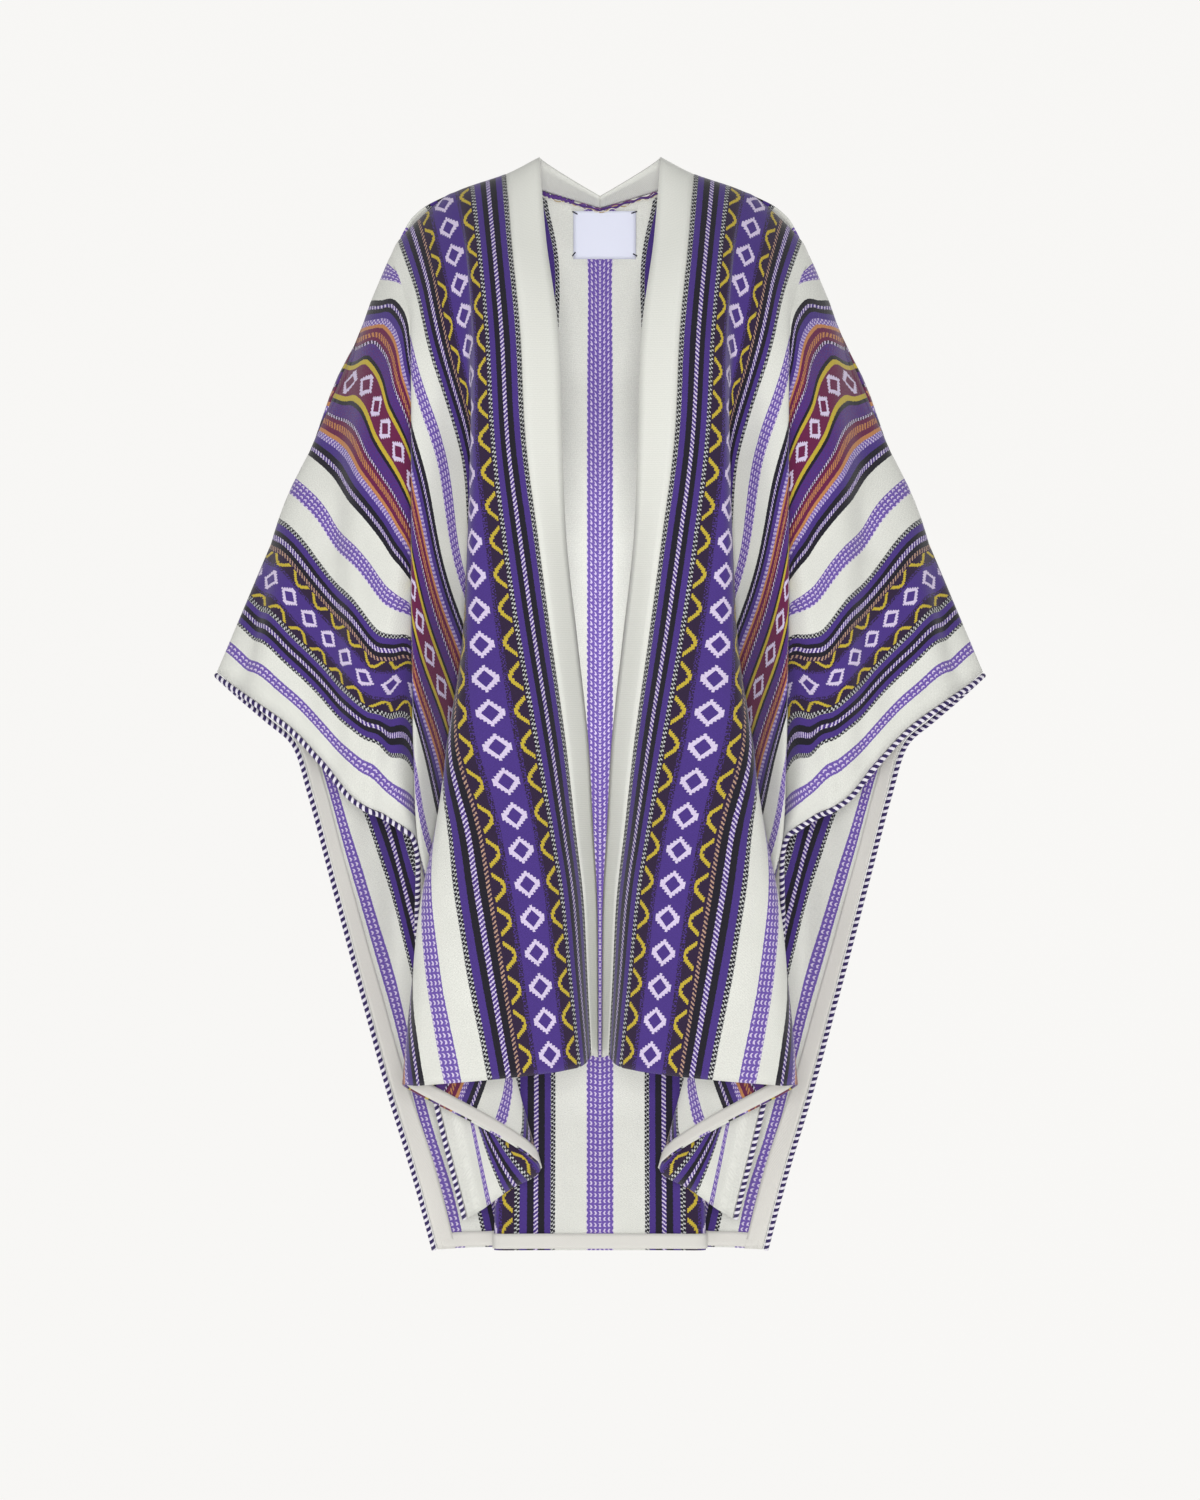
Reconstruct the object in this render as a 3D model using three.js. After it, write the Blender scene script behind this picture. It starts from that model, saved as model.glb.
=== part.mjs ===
// An open-front blanket cape in striped wool, in the shape that it keeps when it is worn.
// Millimetres. +X is the wearer's left, the front faces -Y, +Z is up.
// The origin is midway between the two neck points, where the shoulders carry the cape.
import * as THREE from "three";

// Cloth and trim sizes
const wall = 2.4;
const seamGap = 0.3;
const facingWall = 1.0;
const facingGap = 0.8;
const hemFacingWidth = 18;
const sideFacingWidth = 20;
const pipingRadius = 2.8;
const pipingSides = 6;
const pipingGap = 0.9;

// Cut widths, measured square to the stripes
const bandWidth = 38;
const frontWidth = 600;
const backHalfWidth = 642;
const shoulderCutOnBack = 100; // from the centre back to where the neck seam meets the shoulder seam
const innerStripesWidth = 40; // the first group of stripes beside the neckband

// Cut widths where the folds' lines start, along the neck, shoulder and sleeve seams
const frontSeamWidths = [0, innerStripesWidth, 48, 54, 64, 131, 147, 163, 380, frontWidth];
const backSeamWidths = [shoulderCutOnBack, 112, 136, 154, 178, 190, 202, 410, backHalfWidth];
const halfwayOnBackNeck = { turn: 0.45, cutWidth: 62 };

// Shoulder and sleeve seam, from the neckband over the shoulder to the wrist
const seamCorners = [
  [98, -18],
  [150, -36],
  [193, -60],
  [222, -114],
  [300, -300],
  [401, -540],
];

// Back neck: half width and depth of the neckband's outer and inner edges, and their heights
const neckOuter = { halfWidth: 98, depth: 72, shoulderZ: -18, centreZ: -43, power: 2.6 };
const neckInner = { halfWidth: 63, depth: 37, shoulderZ: 0, centreZ: -36, power: 2 };
const neckSteps = 6;
const shoulderClearance = 0.8; // at the corner where neck and shoulder seams meet
const neckClearance = 1.7; // between the band's edge and the inner face of the back

// Lines that are worked out between those of the tables.
// drop is the share of the way down from the neckband's seam to the first crest.
const stripeDrop = 0.3;
const rollStart = { drop: 0.9, across: 0.5, cut: 1.2 };
const sleeveStart = { latest: 0.8, cover: 60, forward: 0.45, outwards: 2, lower: 6 };
const middleOfBack = { across: 0.55, turned: 0.25, cutWidth: 60 };

// How finely the tables are followed
const firstSectionSteps = 3;
const sectionSteps = 2;

const readTable = (columns, rows) =>
  rows.map((row) => Object.fromEntries(columns.map((name, i) => [name, row[i]])));

// Front, edge side: neckband's inner edge, its seam to the front, and the end of the first stripes
const frontEdge = readTable(
  ["inX", "inY", "inZ", "seamX", "seamY", "seamZ", "stripeX", "stripeY"],
  [
    [56, -50, -93, 91, -62, -100, 128, -64],
    [43, -82, -190, 82, -92, -191, 119, -94],
    [39, -97, -304, 76, -109, -305, 113, -111],
    [35, -92, -407, 63, -113, -408, 101, -118],
    [24, -76, -509, 50, -104, -510, 86, -121],
    [13, -69, -612, 36, -100, -612, 69, -122],
    [8, -60, -704, 26, -93, -704, 53, -122],
    [4, -56, -775, 18, -89, -775, 42, -121],
    [3, -49, -857, 14, -83, -857, 33, -118],
    [2.8, -40, -941, 10, -75, -937, 24, -112],
  ],
);

// Front, first fold: the crest with how softly it rolls, and the valley behind it; u is the cut width there
const frontFold = readTable(
  ["roll", "crestX", "crestY", "crestZ", "crestU", "valleyX", "valleyY", "valleyZ", "valleyU"],
  [
    [4, 137, -62, -117, 56, 147, -60, -122, 66],
    [7, 131, -87, -206, 62, 139, -76, -210, 76],
    [12, 132, -97, -312, 68, 130, -60, -318, 105],
    [14, 135, -102, -412, 83, 131, -60, -420, 124],
    [18, 141, -102, -520, 101, 128, -20, -530, 190],
    [20, 156, -98, -614, 125, 131, 2, -628, 238],
    [24, 169, -93, -704, 163, 132, 14, -722, 286],
    [28, 184, -86, -781, 190, 126, 26, -806, 330],
    [33, 194, -75, -875, 218, 104, 44, -915, 400],
    [38, 203, -60, -969, 250, 64, 60, -1069, 496],
  ],
);

// Front, second fold, which starts at the shoulder and ends below the arm
const sleeveFold = readTable(
  ["crestX", "crestY", "crestZ", "crestU", "valleyX", "valleyY", "valleyZ", "valleyU"],
  [
    [194, -50, -140, 134, 203, -40, -152, 150],
    [193, -71, -219, 165, 192, -52, -232, 184],
    [193, -81, -323, 217, 187, -50, -340, 246],
    [193, -83, -421, 266, 181, -40, -442, 309],
    [192, -81, -524, 318, 172, -10, -550, 397],
    [191, -73, -627, 392, 165, 8, -655, 471],
    [187, -58, -715, 425, 164, 24, -745, 512],
    [168, -24, -812, 460, 158, 34, -830, 532],
    [150, 24, -930, 505, 146, 50, -945, 560],
    [96, 64, -1090, 540, 118, 66, -1106, 570],
  ],
);

// Front sleeve: its fullest line over the arm, and the bound side edge
const sleeveEdge = readTable(
  ["fullY", "edgeX", "edgeY", "edgeZ"],
  [
    [-34, 381, -18, -555],
    [-50, 352, -32, -574],
    [-58, 320, -42, -598],
    [-62, 285, -48, -635],
    [-62, 254, -52, -671],
    [-58, 223, -50, -689],
    [-27, 194, -38, -712],
    [12, 188, 10, -830],
    [40, 176, 36, -965],
    [63, 141, 60, -1120],
  ],
);

// Back, middle: centre line, and the edge where the first pleat turns away
const backCentre = readTable(
  ["centreY", "centreZ", "turnX", "turnY", "turnZ", "turnU"],
  [
    [96, -108, 104, 70, -84, 104],
    [112, -214, 108, 104, -196, 106],
    [122, -322, 110, 120, -310, 108],
    [126, -430, 110, 127, -422, 109],
    [127, -540, 110, 129, -535, 110],
    [126, -652, 110, 128, -650, 110],
    [124, -772, 111, 126, -772, 111],
    [121, -900, 112, 122, -900, 111],
    [118, -1030, 112, 119, -1030, 111],
    [114, -1161, 113, 115, -1161, 111],
  ],
);

// Back, two deep folds on each side: four turns between the middle and the back of the sleeve
const backFolds = readTable(
  ["innerX", "innerY", "firstX", "firstY", "betweenX", "betweenY", "secondX", "secondY", "lastX", "lastY"],
  [
    [118, 69, 140, 66, 158, 62, 180, 56, 190, 52],
    [122, 106, 142, 110, 158, 98, 178, 94, 190, 84],
    [116, 128, 142, 150, 156, 112, 182, 126, 194, 98],
    [108, 140, 143, 186, 150, 120, 186, 156, 198, 106],
    [100, 148, 143, 214, 144, 128, 190, 184, 200, 112],
    [92, 154, 142, 234, 136, 140, 188, 204, 196, 124],
    [84, 158, 140, 246, 126, 154, 184, 218, 188, 138],
    [76, 161, 137, 252, 117, 168, 179, 226, 179, 150],
    [66, 163, 133, 254, 109, 180, 173, 230, 171, 160],
    [58, 164, 128, 252, 101, 190, 167, 230, 163, 168],
  ],
);

// Back sleeve: where it leaves the folds, its fullest line, and the bound side edge
const backSleeve = readTable(
  ["startX", "startY", "startZ", "startU", "fullY", "edgeX", "edgeY", "edgeZ"],
  [
    [200, 46, -160, 250, 34, 377, 18, -563],
    [198, 66, -258, 330, 50, 349, 32, -588],
    [198, 70, -362, 400, 58, 322, 42, -613],
    [196, 72, -462, 455, 62, 304, 50, -669],
    [192, 78, -566, 505, 68, 285, 58, -744],
    [182, 90, -672, 530, 78, 267, 66, -816],
    [164, 106, -786, 545, 92, 246, 78, -898],
    [144, 122, -908, 556, 108, 223, 92, -987],
    [124, 138, -1034, 565, 124, 199, 108, -1071],
    [106, 150, -1161, 573, 138, 176, 126, -1161],
  ],
);

// Neck label
const label = { width: 67, height: 52, wall: 1.0, offset: 5, top: 4, clearance: 3.4 };

const wool = new THREE.MeshStandardMaterial({ color: 0xe4e5de, roughness: 0.95, metalness: 0 });
const stripedWool = new THREE.MeshStandardMaterial({ color: 0x4b3486, roughness: 0.95, metalness: 0 });
const cordCover = new THREE.MeshStandardMaterial({ color: 0x3b2c63, roughness: 0.85, metalness: 0 });
const labelSatin = new THREE.MeshStandardMaterial({ color: 0xe6e8f5, roughness: 0.6, metalness: 0 });

const mix = (a, b, t) => a + (b - a) * t;
const mixKey = (a, b, t) => a.map((value, i) => mix(value, b[i], t));
const distance = (a, b) => Math.hypot(a[0] - b[0], a[1] - b[1], a[2] - b[2]);
const flipX = ([x, y, z, u]) => [-x, y, z, u];
const flipY = ([x, y, z, u]) => [x, -y, z, u];

// A point between keys[i] and keys[i + 1] on a smooth curve through all the keys.
// A key is [x, y, z, u]. Steps are spaced by the root of the distance, so tight folds don't loop.
function alongKeys(keys, i, t, before) {
  const p1 = keys[i];
  const p2 = keys[i + 1];
  const p0 = keys[i - 1] ?? before ?? mixKey(p1, p2, -1);
  const p3 = keys[i + 2] ?? mixKey(p2, p1, -1);
  const d01 = Math.sqrt(distance(p0, p1)) + 1e-3;
  const d12 = Math.sqrt(distance(p1, p2)) + 1e-3;
  const d23 = Math.sqrt(distance(p2, p3)) + 1e-3;
  return p1.map((_, k) => {
    const start = ((p1[k] - p0[k]) / d01 - (p2[k] - p0[k]) / (d01 + d12)) * d12 + (p2[k] - p1[k]);
    const end = ((p3[k] - p2[k]) / d23 - (p3[k] - p1[k]) / (d12 + d23)) * d12 + (p2[k] - p1[k]);
    const a = p1[k];
    const b = p2[k];
    return (
      (2 * t ** 3 - 3 * t ** 2 + 1) * a +
      (t ** 3 - 2 * t ** 2 + t) * start +
      (3 * t ** 2 - 2 * t ** 3) * b +
      (t ** 3 - t ** 2) * end
    );
  });
}

// The seam's point at a share of its length, with the cut width u that belongs there
const seamCurve = new THREE.CatmullRomCurve3(
  seamCorners.map(([x, z]) => new THREE.Vector3(x, 0, z)),
  false,
  "centripetal",
);
function seamKey(share, u) {
  const p = seamCurve.getPointAt(share);
  return [p.x, 0, p.z, u];
}

// Point on a neck curve; turn is 0 at the shoulder and 1 at the centre back
function neckPoint(curve, turn, u = 0) {
  const angle = (turn * Math.PI) / 2;
  const share = Math.cos(angle);
  return [
    curve.halfWidth * share,
    curve.depth * Math.pow(1 - Math.pow(share, curve.power), 1 / curve.power),
    mix(curve.centreZ, curve.shoulderZ, share),
    u,
  ];
}

// Keys across the front at each row of the tables, from the neckband's inner edge to the side edge
function frontKeys() {
  const top = [
    [neckInner.halfWidth, 0, neckInner.shoulderZ, -bandWidth],
    ...frontSeamWidths.map((u) => seamKey(u / frontWidth, u)),
  ];
  const rows = frontEdge.map((edge, i) => {
    const fold = frontFold[i];
    const arm = sleeveFold[i];
    const side = sleeveEdge[i];
    const outU = Math.min(2 * arm.valleyU - arm.crestU, mix(arm.valleyU, frontWidth, sleeveStart.latest));
    const cover = Math.min(1, (frontWidth - outU) / sleeveStart.cover);
    const forward = mix(arm.crestY, arm.valleyY, sleeveStart.forward);
    const start = [
      mix(mix(arm.valleyX, side.edgeX, 0.5), arm.crestX + sleeveStart.outwards, cover),
      mix(mix(arm.valleyY, side.edgeY, 0.5), forward, cover),
      mix(mix(arm.valleyZ, side.edgeZ, 0.5), arm.valleyZ + sleeveStart.lower, cover),
      outU,
    ];
    const full = [
      mix(start[0], side.edgeX, 0.5),
      side.fullY,
      mix(start[2], side.edgeZ, 0.5),
      mix(outU, frontWidth, 0.5),
    ];
    return [
      [edge.inX, edge.inY, edge.inZ, -bandWidth],
      [edge.seamX, edge.seamY, edge.seamZ, 0],
      [edge.stripeX, edge.stripeY, mix(edge.seamZ, fold.crestZ, stripeDrop), innerStripesWidth],
      [
        fold.crestX - rollStart.across * fold.roll,
        fold.crestY - fold.roll,
        mix(edge.seamZ, fold.crestZ, rollStart.drop),
        fold.crestU - rollStart.cut * fold.roll,
      ],
      [fold.crestX, fold.crestY, fold.crestZ, fold.crestU],
      [fold.valleyX, fold.valleyY, fold.valleyZ, fold.valleyU],
      [arm.crestX, arm.crestY, arm.crestZ, arm.crestU],
      [arm.valleyX, arm.valleyY, arm.valleyZ, arm.valleyU],
      start,
      full,
      [side.edgeX, side.edgeY, side.edgeZ, frontWidth],
    ];
  });
  return [top, ...rows];
}

// Keys across half the back at each row, from the centre line to the side edge
function backKeys() {
  const seamWidth = backHalfWidth - shoulderCutOnBack;
  const top = [
    neckPoint(neckOuter, 1, 0),
    neckPoint(neckOuter, halfwayOnBackNeck.turn, halfwayOnBackNeck.cutWidth),
    ...backSeamWidths.map((u) => seamKey((u - shoulderCutOnBack) / seamWidth, u)),
  ];
  const rows = backCentre.map((middle, i) => {
    const fold = backFolds[i];
    const sleeve = backSleeve[i];
    const turns = [
      [middle.turnX, middle.turnY],
      [fold.innerX, fold.innerY],
      [fold.firstX, fold.firstY],
      [fold.betweenX, fold.betweenY],
      [fold.secondX, fold.secondY],
      [fold.lastX, fold.lastY],
      [sleeve.startX, sleeve.startY],
    ];
    const runs = [0];
    for (let k = 1; k < turns.length; k++)
      runs.push(runs[k - 1] + Math.hypot(turns[k][0] - turns[k - 1][0], turns[k][1] - turns[k - 1][1]));
    const folded = turns.map(([x, y], k) => {
      const share = runs[k] / runs[runs.length - 1];
      return [x, y, mix(middle.turnZ, sleeve.startZ, share), mix(middle.turnU, sleeve.startU, share)];
    });
    return [
      [0, middle.centreY, middle.centreZ, 0],
      [
        middleOfBack.across * middle.turnX,
        mix(middle.centreY, middle.turnY, middleOfBack.turned),
        mix(middle.centreZ, middle.turnZ, 0.5),
        middleOfBack.cutWidth,
      ],
      ...folded,
      [
        mix(sleeve.startX, sleeve.edgeX, 0.5),
        sleeve.fullY,
        mix(sleeve.startZ, sleeve.edgeZ, 0.5),
        mix(sleeve.startU, backHalfWidth, 0.5),
      ],
      [sleeve.edgeX, sleeve.edgeY, sleeve.edgeZ, backHalfWidth],
    ];
  });
  return [top, ...rows];
}

// Samples a table of keys into a grid of [x, y, z, u], with a last row one facing width above the hem.
// The first row is a seam in the plane y = 0, so the cloth passes over it square to that plane.
function sampleSheet(keyRows, columnSteps) {
  const lines = [];
  for (let i = 0; i + 1 < keyRows.length; i++) {
    const steps = i === 0 ? firstSectionSteps : sectionSteps;
    for (let k = 0; k < steps; k++) lines.push([i, k / steps]);
  }
  lines.push([keyRows.length - 2, 1]);
  const columns = keyRows[0].map((_, k) => keyRows.map((row) => row[k]));
  const grid = lines.map(([i, t]) => {
    const keys = columns.map((column) => alongKeys(column, i, t, overSeam(column)));
    return crossSection(keys, columnSteps);
  });
  const hem = grid[grid.length - 1];
  const above = grid[grid.length - 2];
  const facingTop = hem.map((key, k) => mixKey(key, above[k], hemFacingWidth / distance(key, above[k])));
  grid.splice(grid.length - 1, 0, facingTop);
  return grid;
}

// What continues a column above the seam: the same cloth on the other side of it
function overSeam(column) {
  return Math.abs(column[0][1]) < 1 ? flipY(column[1]) : undefined;
}

function crossSection(keys, columnSteps) {
  const row = [];
  for (let i = 0; i + 1 < keys.length; i++)
    for (let k = 0; k < columnSteps[i]; k++) row.push(alongKeys(keys, i, k / columnSteps[i]));
  row.push(keys[keys.length - 1]);
  return row;
}

// Adds a column one facing width in from the side edge
function withSideColumn(row) {
  const edge = row[row.length - 1];
  const next = row[row.length - 2];
  const added = mixKey(edge, next, sideFacingWidth / distance(edge, next));
  return [...row.slice(0, -1), added, edge];
}

// Unit normals of a grid; facing is 1 where down crossed with across points out of the cloth
function gridNormals(grid, facing) {
  return grid.map((row, i) =>
    row.map((key, k) => {
      const up = grid[Math.max(i - 1, 0)][k];
      const down = grid[Math.min(i + 1, grid.length - 1)][k];
      const left = row[Math.max(k - 1, 0)];
      const right = row[Math.min(k + 1, row.length - 1)];
      const along = new THREE.Vector3(down[0] - up[0], down[1] - up[1], down[2] - up[2]);
      const across = new THREE.Vector3(right[0] - left[0], right[1] - left[1], right[2] - left[2]);
      const normal = along.cross(across).multiplyScalar(facing);
      if (i === 0 && Math.abs(key[1]) < 1) normal.y = 0; // square to the seam's plane
      return normal.normalize();
    }),
  );
}

// Closed solid between two offsets of a grid, measured along its normals
function slab(grid, normals, outer, inner, facing) {
  const rows = grid.length;
  const cols = grid[0].length;
  const positions = [];
  for (const offset of [outer, inner])
    grid.forEach((row, i) =>
      row.forEach((key, k) => {
        const n = normals[i][k];
        positions.push(key[0] + n.x * offset, key[1] + n.y * offset, key[2] + n.z * offset);
      }),
    );
  const at = (side, i, k) => side * rows * cols + i * cols + k;
  const faces = [];
  const quad = (a, b, c, d) => {
    if (facing > 0) faces.push(a, b, c, a, c, d);
    else faces.push(a, c, b, a, d, c);
  };
  for (let i = 0; i + 1 < rows; i++)
    for (let k = 0; k + 1 < cols; k++) {
      quad(at(0, i, k), at(0, i + 1, k), at(0, i + 1, k + 1), at(0, i, k + 1));
      quad(at(1, i, k), at(1, i, k + 1), at(1, i + 1, k + 1), at(1, i + 1, k));
    }
  for (let k = 0; k + 1 < cols; k++) {
    quad(at(0, 0, k), at(0, 0, k + 1), at(1, 0, k + 1), at(1, 0, k));
    quad(at(0, rows - 1, k + 1), at(0, rows - 1, k), at(1, rows - 1, k), at(1, rows - 1, k + 1));
  }
  for (let i = 0; i + 1 < rows; i++) {
    quad(at(0, i + 1, 0), at(0, i, 0), at(1, i, 0), at(1, i + 1, 0));
    quad(at(0, i, cols - 1), at(0, i + 1, cols - 1), at(1, i + 1, cols - 1), at(1, i, cols - 1));
  }
  return closedGeometry(positions, faces);
}

function closedGeometry(positions, faces) {
  const geometry = new THREE.BufferGeometry();
  geometry.setAttribute("position", new THREE.Float32BufferAttribute(positions, 3));
  geometry.setIndex(faces);
  geometry.computeVertexNormals();
  return geometry;
}

// Round binding that runs along a sheet's last column, just outside the cloth's edge
function piping(grid, normals, facing) {
  const last = grid[0].length - 1;
  const positions = [];
  const centres = grid.map((row, i) => {
    const n = normals[i][last];
    const edge = new THREE.Vector3(...row[last]);
    const out = edge.clone().sub(new THREE.Vector3(...row[last - 1]));
    const above = new THREE.Vector3(...grid[Math.max(i - 1, 0)][last]);
    const below = new THREE.Vector3(...grid[Math.min(i + 1, grid.length - 1)][last]);
    const before = edge.clone().sub(above).normalize();
    const after = below.clone().sub(edge).normalize();
    const run = below.sub(above).normalize();
    const ends = i === 0 || i === grid.length - 1;
    const mitre = ends ? 1 : Math.sqrt(2 / (1 + before.dot(after))); // keeps its distance round a bend
    out.addScaledVector(run, -out.dot(run));
    out.addScaledVector(n, -out.dot(n));
    if (i === 0) out.y = 0;
    out.normalize();
    const centre = edge.clone().addScaledVector(out, mitre * (pipingRadius + pipingGap));
    for (let s = 0; s < pipingSides; s++) {
      const angle = ((s + 0.5) / pipingSides) * 2 * Math.PI;
      const point = centre
        .clone()
        .addScaledVector(out, pipingRadius * Math.cos(angle))
        .addScaledVector(n, pipingRadius * Math.sin(angle));
      positions.push(...point.toArray());
    }
    return centre;
  });
  const faces = [];
  const add = (a, b, c) => (facing > 0 ? faces.push(a, b, c) : faces.push(a, c, b));
  const rings = centres.length;
  for (let i = 0; i + 1 < rings; i++)
    for (let s = 0; s < pipingSides; s++) {
      const next = (s + 1) % pipingSides;
      const a = i * pipingSides + s;
      const b = i * pipingSides + next;
      const c = a + pipingSides;
      const d = b + pipingSides;
      add(a, c, b);
      add(b, c, d);
    }
  for (let s = 1; s + 1 < pipingSides; s++) {
    add(0, s, s + 1);
    const base = (rings - 1) * pipingSides;
    add(base, base + s + 1, base + s);
  }
  return closedGeometry(positions, faces);
}

// The same solid on the wearer's other side
function mirrored(geometry) {
  const copy = geometry.clone();
  copy.scale(-1, 1, 1);
  const index = copy.index.array;
  for (let i = 0; i < index.length; i += 3) [index[i + 1], index[i + 2]] = [index[i + 2], index[i + 1]];
  copy.computeVertexNormals();
  return copy;
}

const cape = new THREE.Group();
function addPiece(name, geometry, material) {
  const mesh = new THREE.Mesh(geometry, material.clone());
  mesh.name = name;
  cape.add(mesh);
}
function addPair(name, geometry, material) {
  addPiece(`${name}_left`, geometry, material);
  addPiece(`${name}_right`, mirrored(geometry), material);
}

// Fronts, with the neckband that carries on round the back neck
function addFronts() {
  const columnSteps = [3, 2, 2, 3, 3, 3, 3, 2, 3, 3];
  const bandSteps = columnSteps[0];
  const sheet = sampleSheet(frontKeys(), columnSteps);
  const normals = gridNormals(sheet, 1);
  for (const key of sheet[0]) key[1] = -seamGap / 2;
  const front = sheet.map((row) => row.slice(bandSteps));
  const frontNormals = normals.map((row) => row.slice(bandSteps));
  addPair("front", slab(front, frontNormals, wall / 2, -wall / 2, 1), stripedWool);
  const under = -wall / 2 - facingGap;
  addPair(
    "hem_facing_front",
    slab(front.slice(-2), frontNormals.slice(-2), under, under - facingWall, 1),
    wool,
  );
  addPair("piping_front", piping(front, frontNormals, -1), cordCover);
  addNeckband(sheet, normals, bandSteps);
}

function addNeckband(sheet, normals, bandSteps) {
  const rows = [];
  for (let i = neckSteps; i > 0; i--) {
    const turn = i / neckSteps;
    const outer = neckPoint(neckOuter, turn);
    const inner = neckPoint(neckInner, turn);
    const row = [];
    for (let k = 0; k <= bandSteps; k++) row.push(mixKey(inner, outer, k / bandSteps));
    rows.push(row);
  }
  const backNormals = gridNormals([...rows, sheet[0].slice(0, bandSteps + 1)], 1).slice(0, -1);
  backNormals[0].forEach((n) => n.setX(0).normalize());
  rows[0].forEach((key) => (key[0] = seamGap / 2));
  const bandRows = [...rows, ...sheet.map((row) => row.slice(0, bandSteps + 1))];
  const bandNormals = [...backNormals, ...normals.map((row) => row.slice(0, bandSteps + 1))];
  const trimmed = bandRows.map((row, i) => {
    const seam = row[bandSteps];
    const next = row[bandSteps - 1];
    const onShoulder = i === neckSteps ? shoulderClearance : seamGap;
    const gap = i < neckSteps ? neckClearance + wall / 2 : onShoulder;
    return [...row.slice(0, -1), mixKey(seam, next, gap / distance(seam, next))];
  });
  addPair("neckband", slab(trimmed, bandNormals, wall / 2, -wall / 2, 1), wool);
}

// Back, with its facings and the binding of its side edges
function addBack() {
  const columnSteps = [2, 3, 2, 3, 3, 3, 2, 2, 3, 1];
  const half = sampleSheet(backKeys(), columnSteps).map(withSideColumn);
  half[0] = half[0].map(ontoTopSeam);
  const sheet = half.map((row) => [...row.slice(1).reverse().map(flipX), ...row]);
  const normals = gridNormals(sheet, -1);
  for (const key of sheet[0]) key[1] = Math.max(key[1], seamGap / 2);
  addPiece("back", slab(sheet, normals, wall / 2, -wall / 2, -1), stripedWool);
  const under = -wall / 2 - facingGap;
  const lastColumn = sheet[0].length - 1;
  const hemRows = sheet.slice(-2).map((row) => row.slice(1, lastColumn));
  const hemNormals = normals.slice(-2).map((row) => row.slice(1, lastColumn));
  for (const row of hemRows) {
    row[0] = mixKey(row[0], row[1], seamGap / distance(row[0], row[1]));
    const end = row.length - 1;
    row[end] = mixKey(row[end], row[end - 1], seamGap / distance(row[end], row[end - 1]));
  }
  addPiece("hem_facing_back", slab(hemRows, hemNormals, under, under - facingWall, -1), wool);
  const sideRows = sheet.slice(1).map((row) => row.slice(lastColumn - 1));
  const sideNormals = normals.slice(1).map((row) => row.slice(lastColumn - 1));
  addPair("side_facing_back", slab(sideRows, sideNormals, under, under - facingWall, -1), wool);
  addPair("piping_back", piping(sheet, normals, 1), cordCover);
  addLabel(sheet, normals);
}

// The back's first row follows the neck curve, then the shoulder and sleeve seam in the plane y = 0
function ontoTopSeam([x, , z, u]) {
  if (u >= shoulderCutOnBack) return [x, 0, z, u];
  const [neckX, neckY, neckZ] = neckPoint(neckOuter, 1 - u / shoulderCutOnBack);
  return [neckX, neckY, neckZ, u];
}

// Bare label on the inside of the back, below the neck seam
function addLabel(sheet, normals) {
  const middle = (sheet[0].length - 1) / 2;
  const top = sheet[0][middle];
  const lower = sheet[2][middle];
  const slope = Math.atan2(lower[1] - top[1], top[2] - lower[2]); // of the back just below its neck seam
  const geometry = new THREE.BoxGeometry(label.width, label.wall, label.height);
  geometry.translate(0, 0, -label.height / 2 - label.top);
  geometry.rotateX(slope);
  geometry.translate(label.offset, top[1] - wall / 2 - label.clearance, top[2]);
  addPiece("neck_label", geometry, labelSatin);
}

addFronts();
addBack();

export default cape;
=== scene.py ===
import math

import bmesh
import bpy
import numpy as np
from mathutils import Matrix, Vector


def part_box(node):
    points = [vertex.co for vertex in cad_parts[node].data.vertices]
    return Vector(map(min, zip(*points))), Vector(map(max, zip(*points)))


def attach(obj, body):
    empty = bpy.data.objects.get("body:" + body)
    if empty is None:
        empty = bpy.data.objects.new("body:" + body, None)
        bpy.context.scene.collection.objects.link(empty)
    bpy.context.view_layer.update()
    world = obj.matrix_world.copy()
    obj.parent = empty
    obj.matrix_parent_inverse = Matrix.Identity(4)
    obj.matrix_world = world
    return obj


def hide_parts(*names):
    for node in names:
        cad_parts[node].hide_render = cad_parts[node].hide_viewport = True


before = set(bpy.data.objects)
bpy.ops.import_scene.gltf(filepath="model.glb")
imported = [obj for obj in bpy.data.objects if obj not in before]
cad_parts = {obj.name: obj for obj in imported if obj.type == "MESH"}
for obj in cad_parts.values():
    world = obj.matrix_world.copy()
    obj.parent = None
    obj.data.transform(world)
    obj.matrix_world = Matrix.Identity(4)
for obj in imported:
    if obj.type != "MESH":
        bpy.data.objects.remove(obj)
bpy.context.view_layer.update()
mm = 0.001

print("frame loaded")

# Cut sizes in mm, u square to the stripes and w along them from the hem
cutSizes = {
    "bandWidth": 38,
    "frontWidth": 600,
    "backHalfWidth": 642,
    "shoulderOnBack": 100,     # centre back to the corner of neck and shoulder seams
    "innerStripes": 40,
    "frontLength": 925,        # at the neckband
    "frontSideLength": 750,
    "backLength": 1130,        # at the centre back
    "backSideLength": 700,
    "hemFacing": 18,
    "sideFacing": 20,
    "wall": 2.4,
    "seamGap": 0.3,
    "frontArea": 0.503e6,      # square mm
    "backArea": 1.175e6,
    "backLongest": 1146,
}

# Shoulder and sleeve seam from the neckband to the wrist, x and z in mm
seamCorners = [(98, -18), (150, -36), (193, -60), (222, -114), (300, -300), (401, -540)]

# Places along the seam, by u, where a fold starts, turns or ends
frontSeamStops = [0, cutSizes["innerStripes"], 48, 54, 64, 131, 147, 163, 380, cutSizes["frontWidth"]]
backSeamStops = [cutSizes["shoulderOnBack"], 112, 136, 154, 178, 190, 202, 410, cutSizes["backHalfWidth"]]

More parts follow.
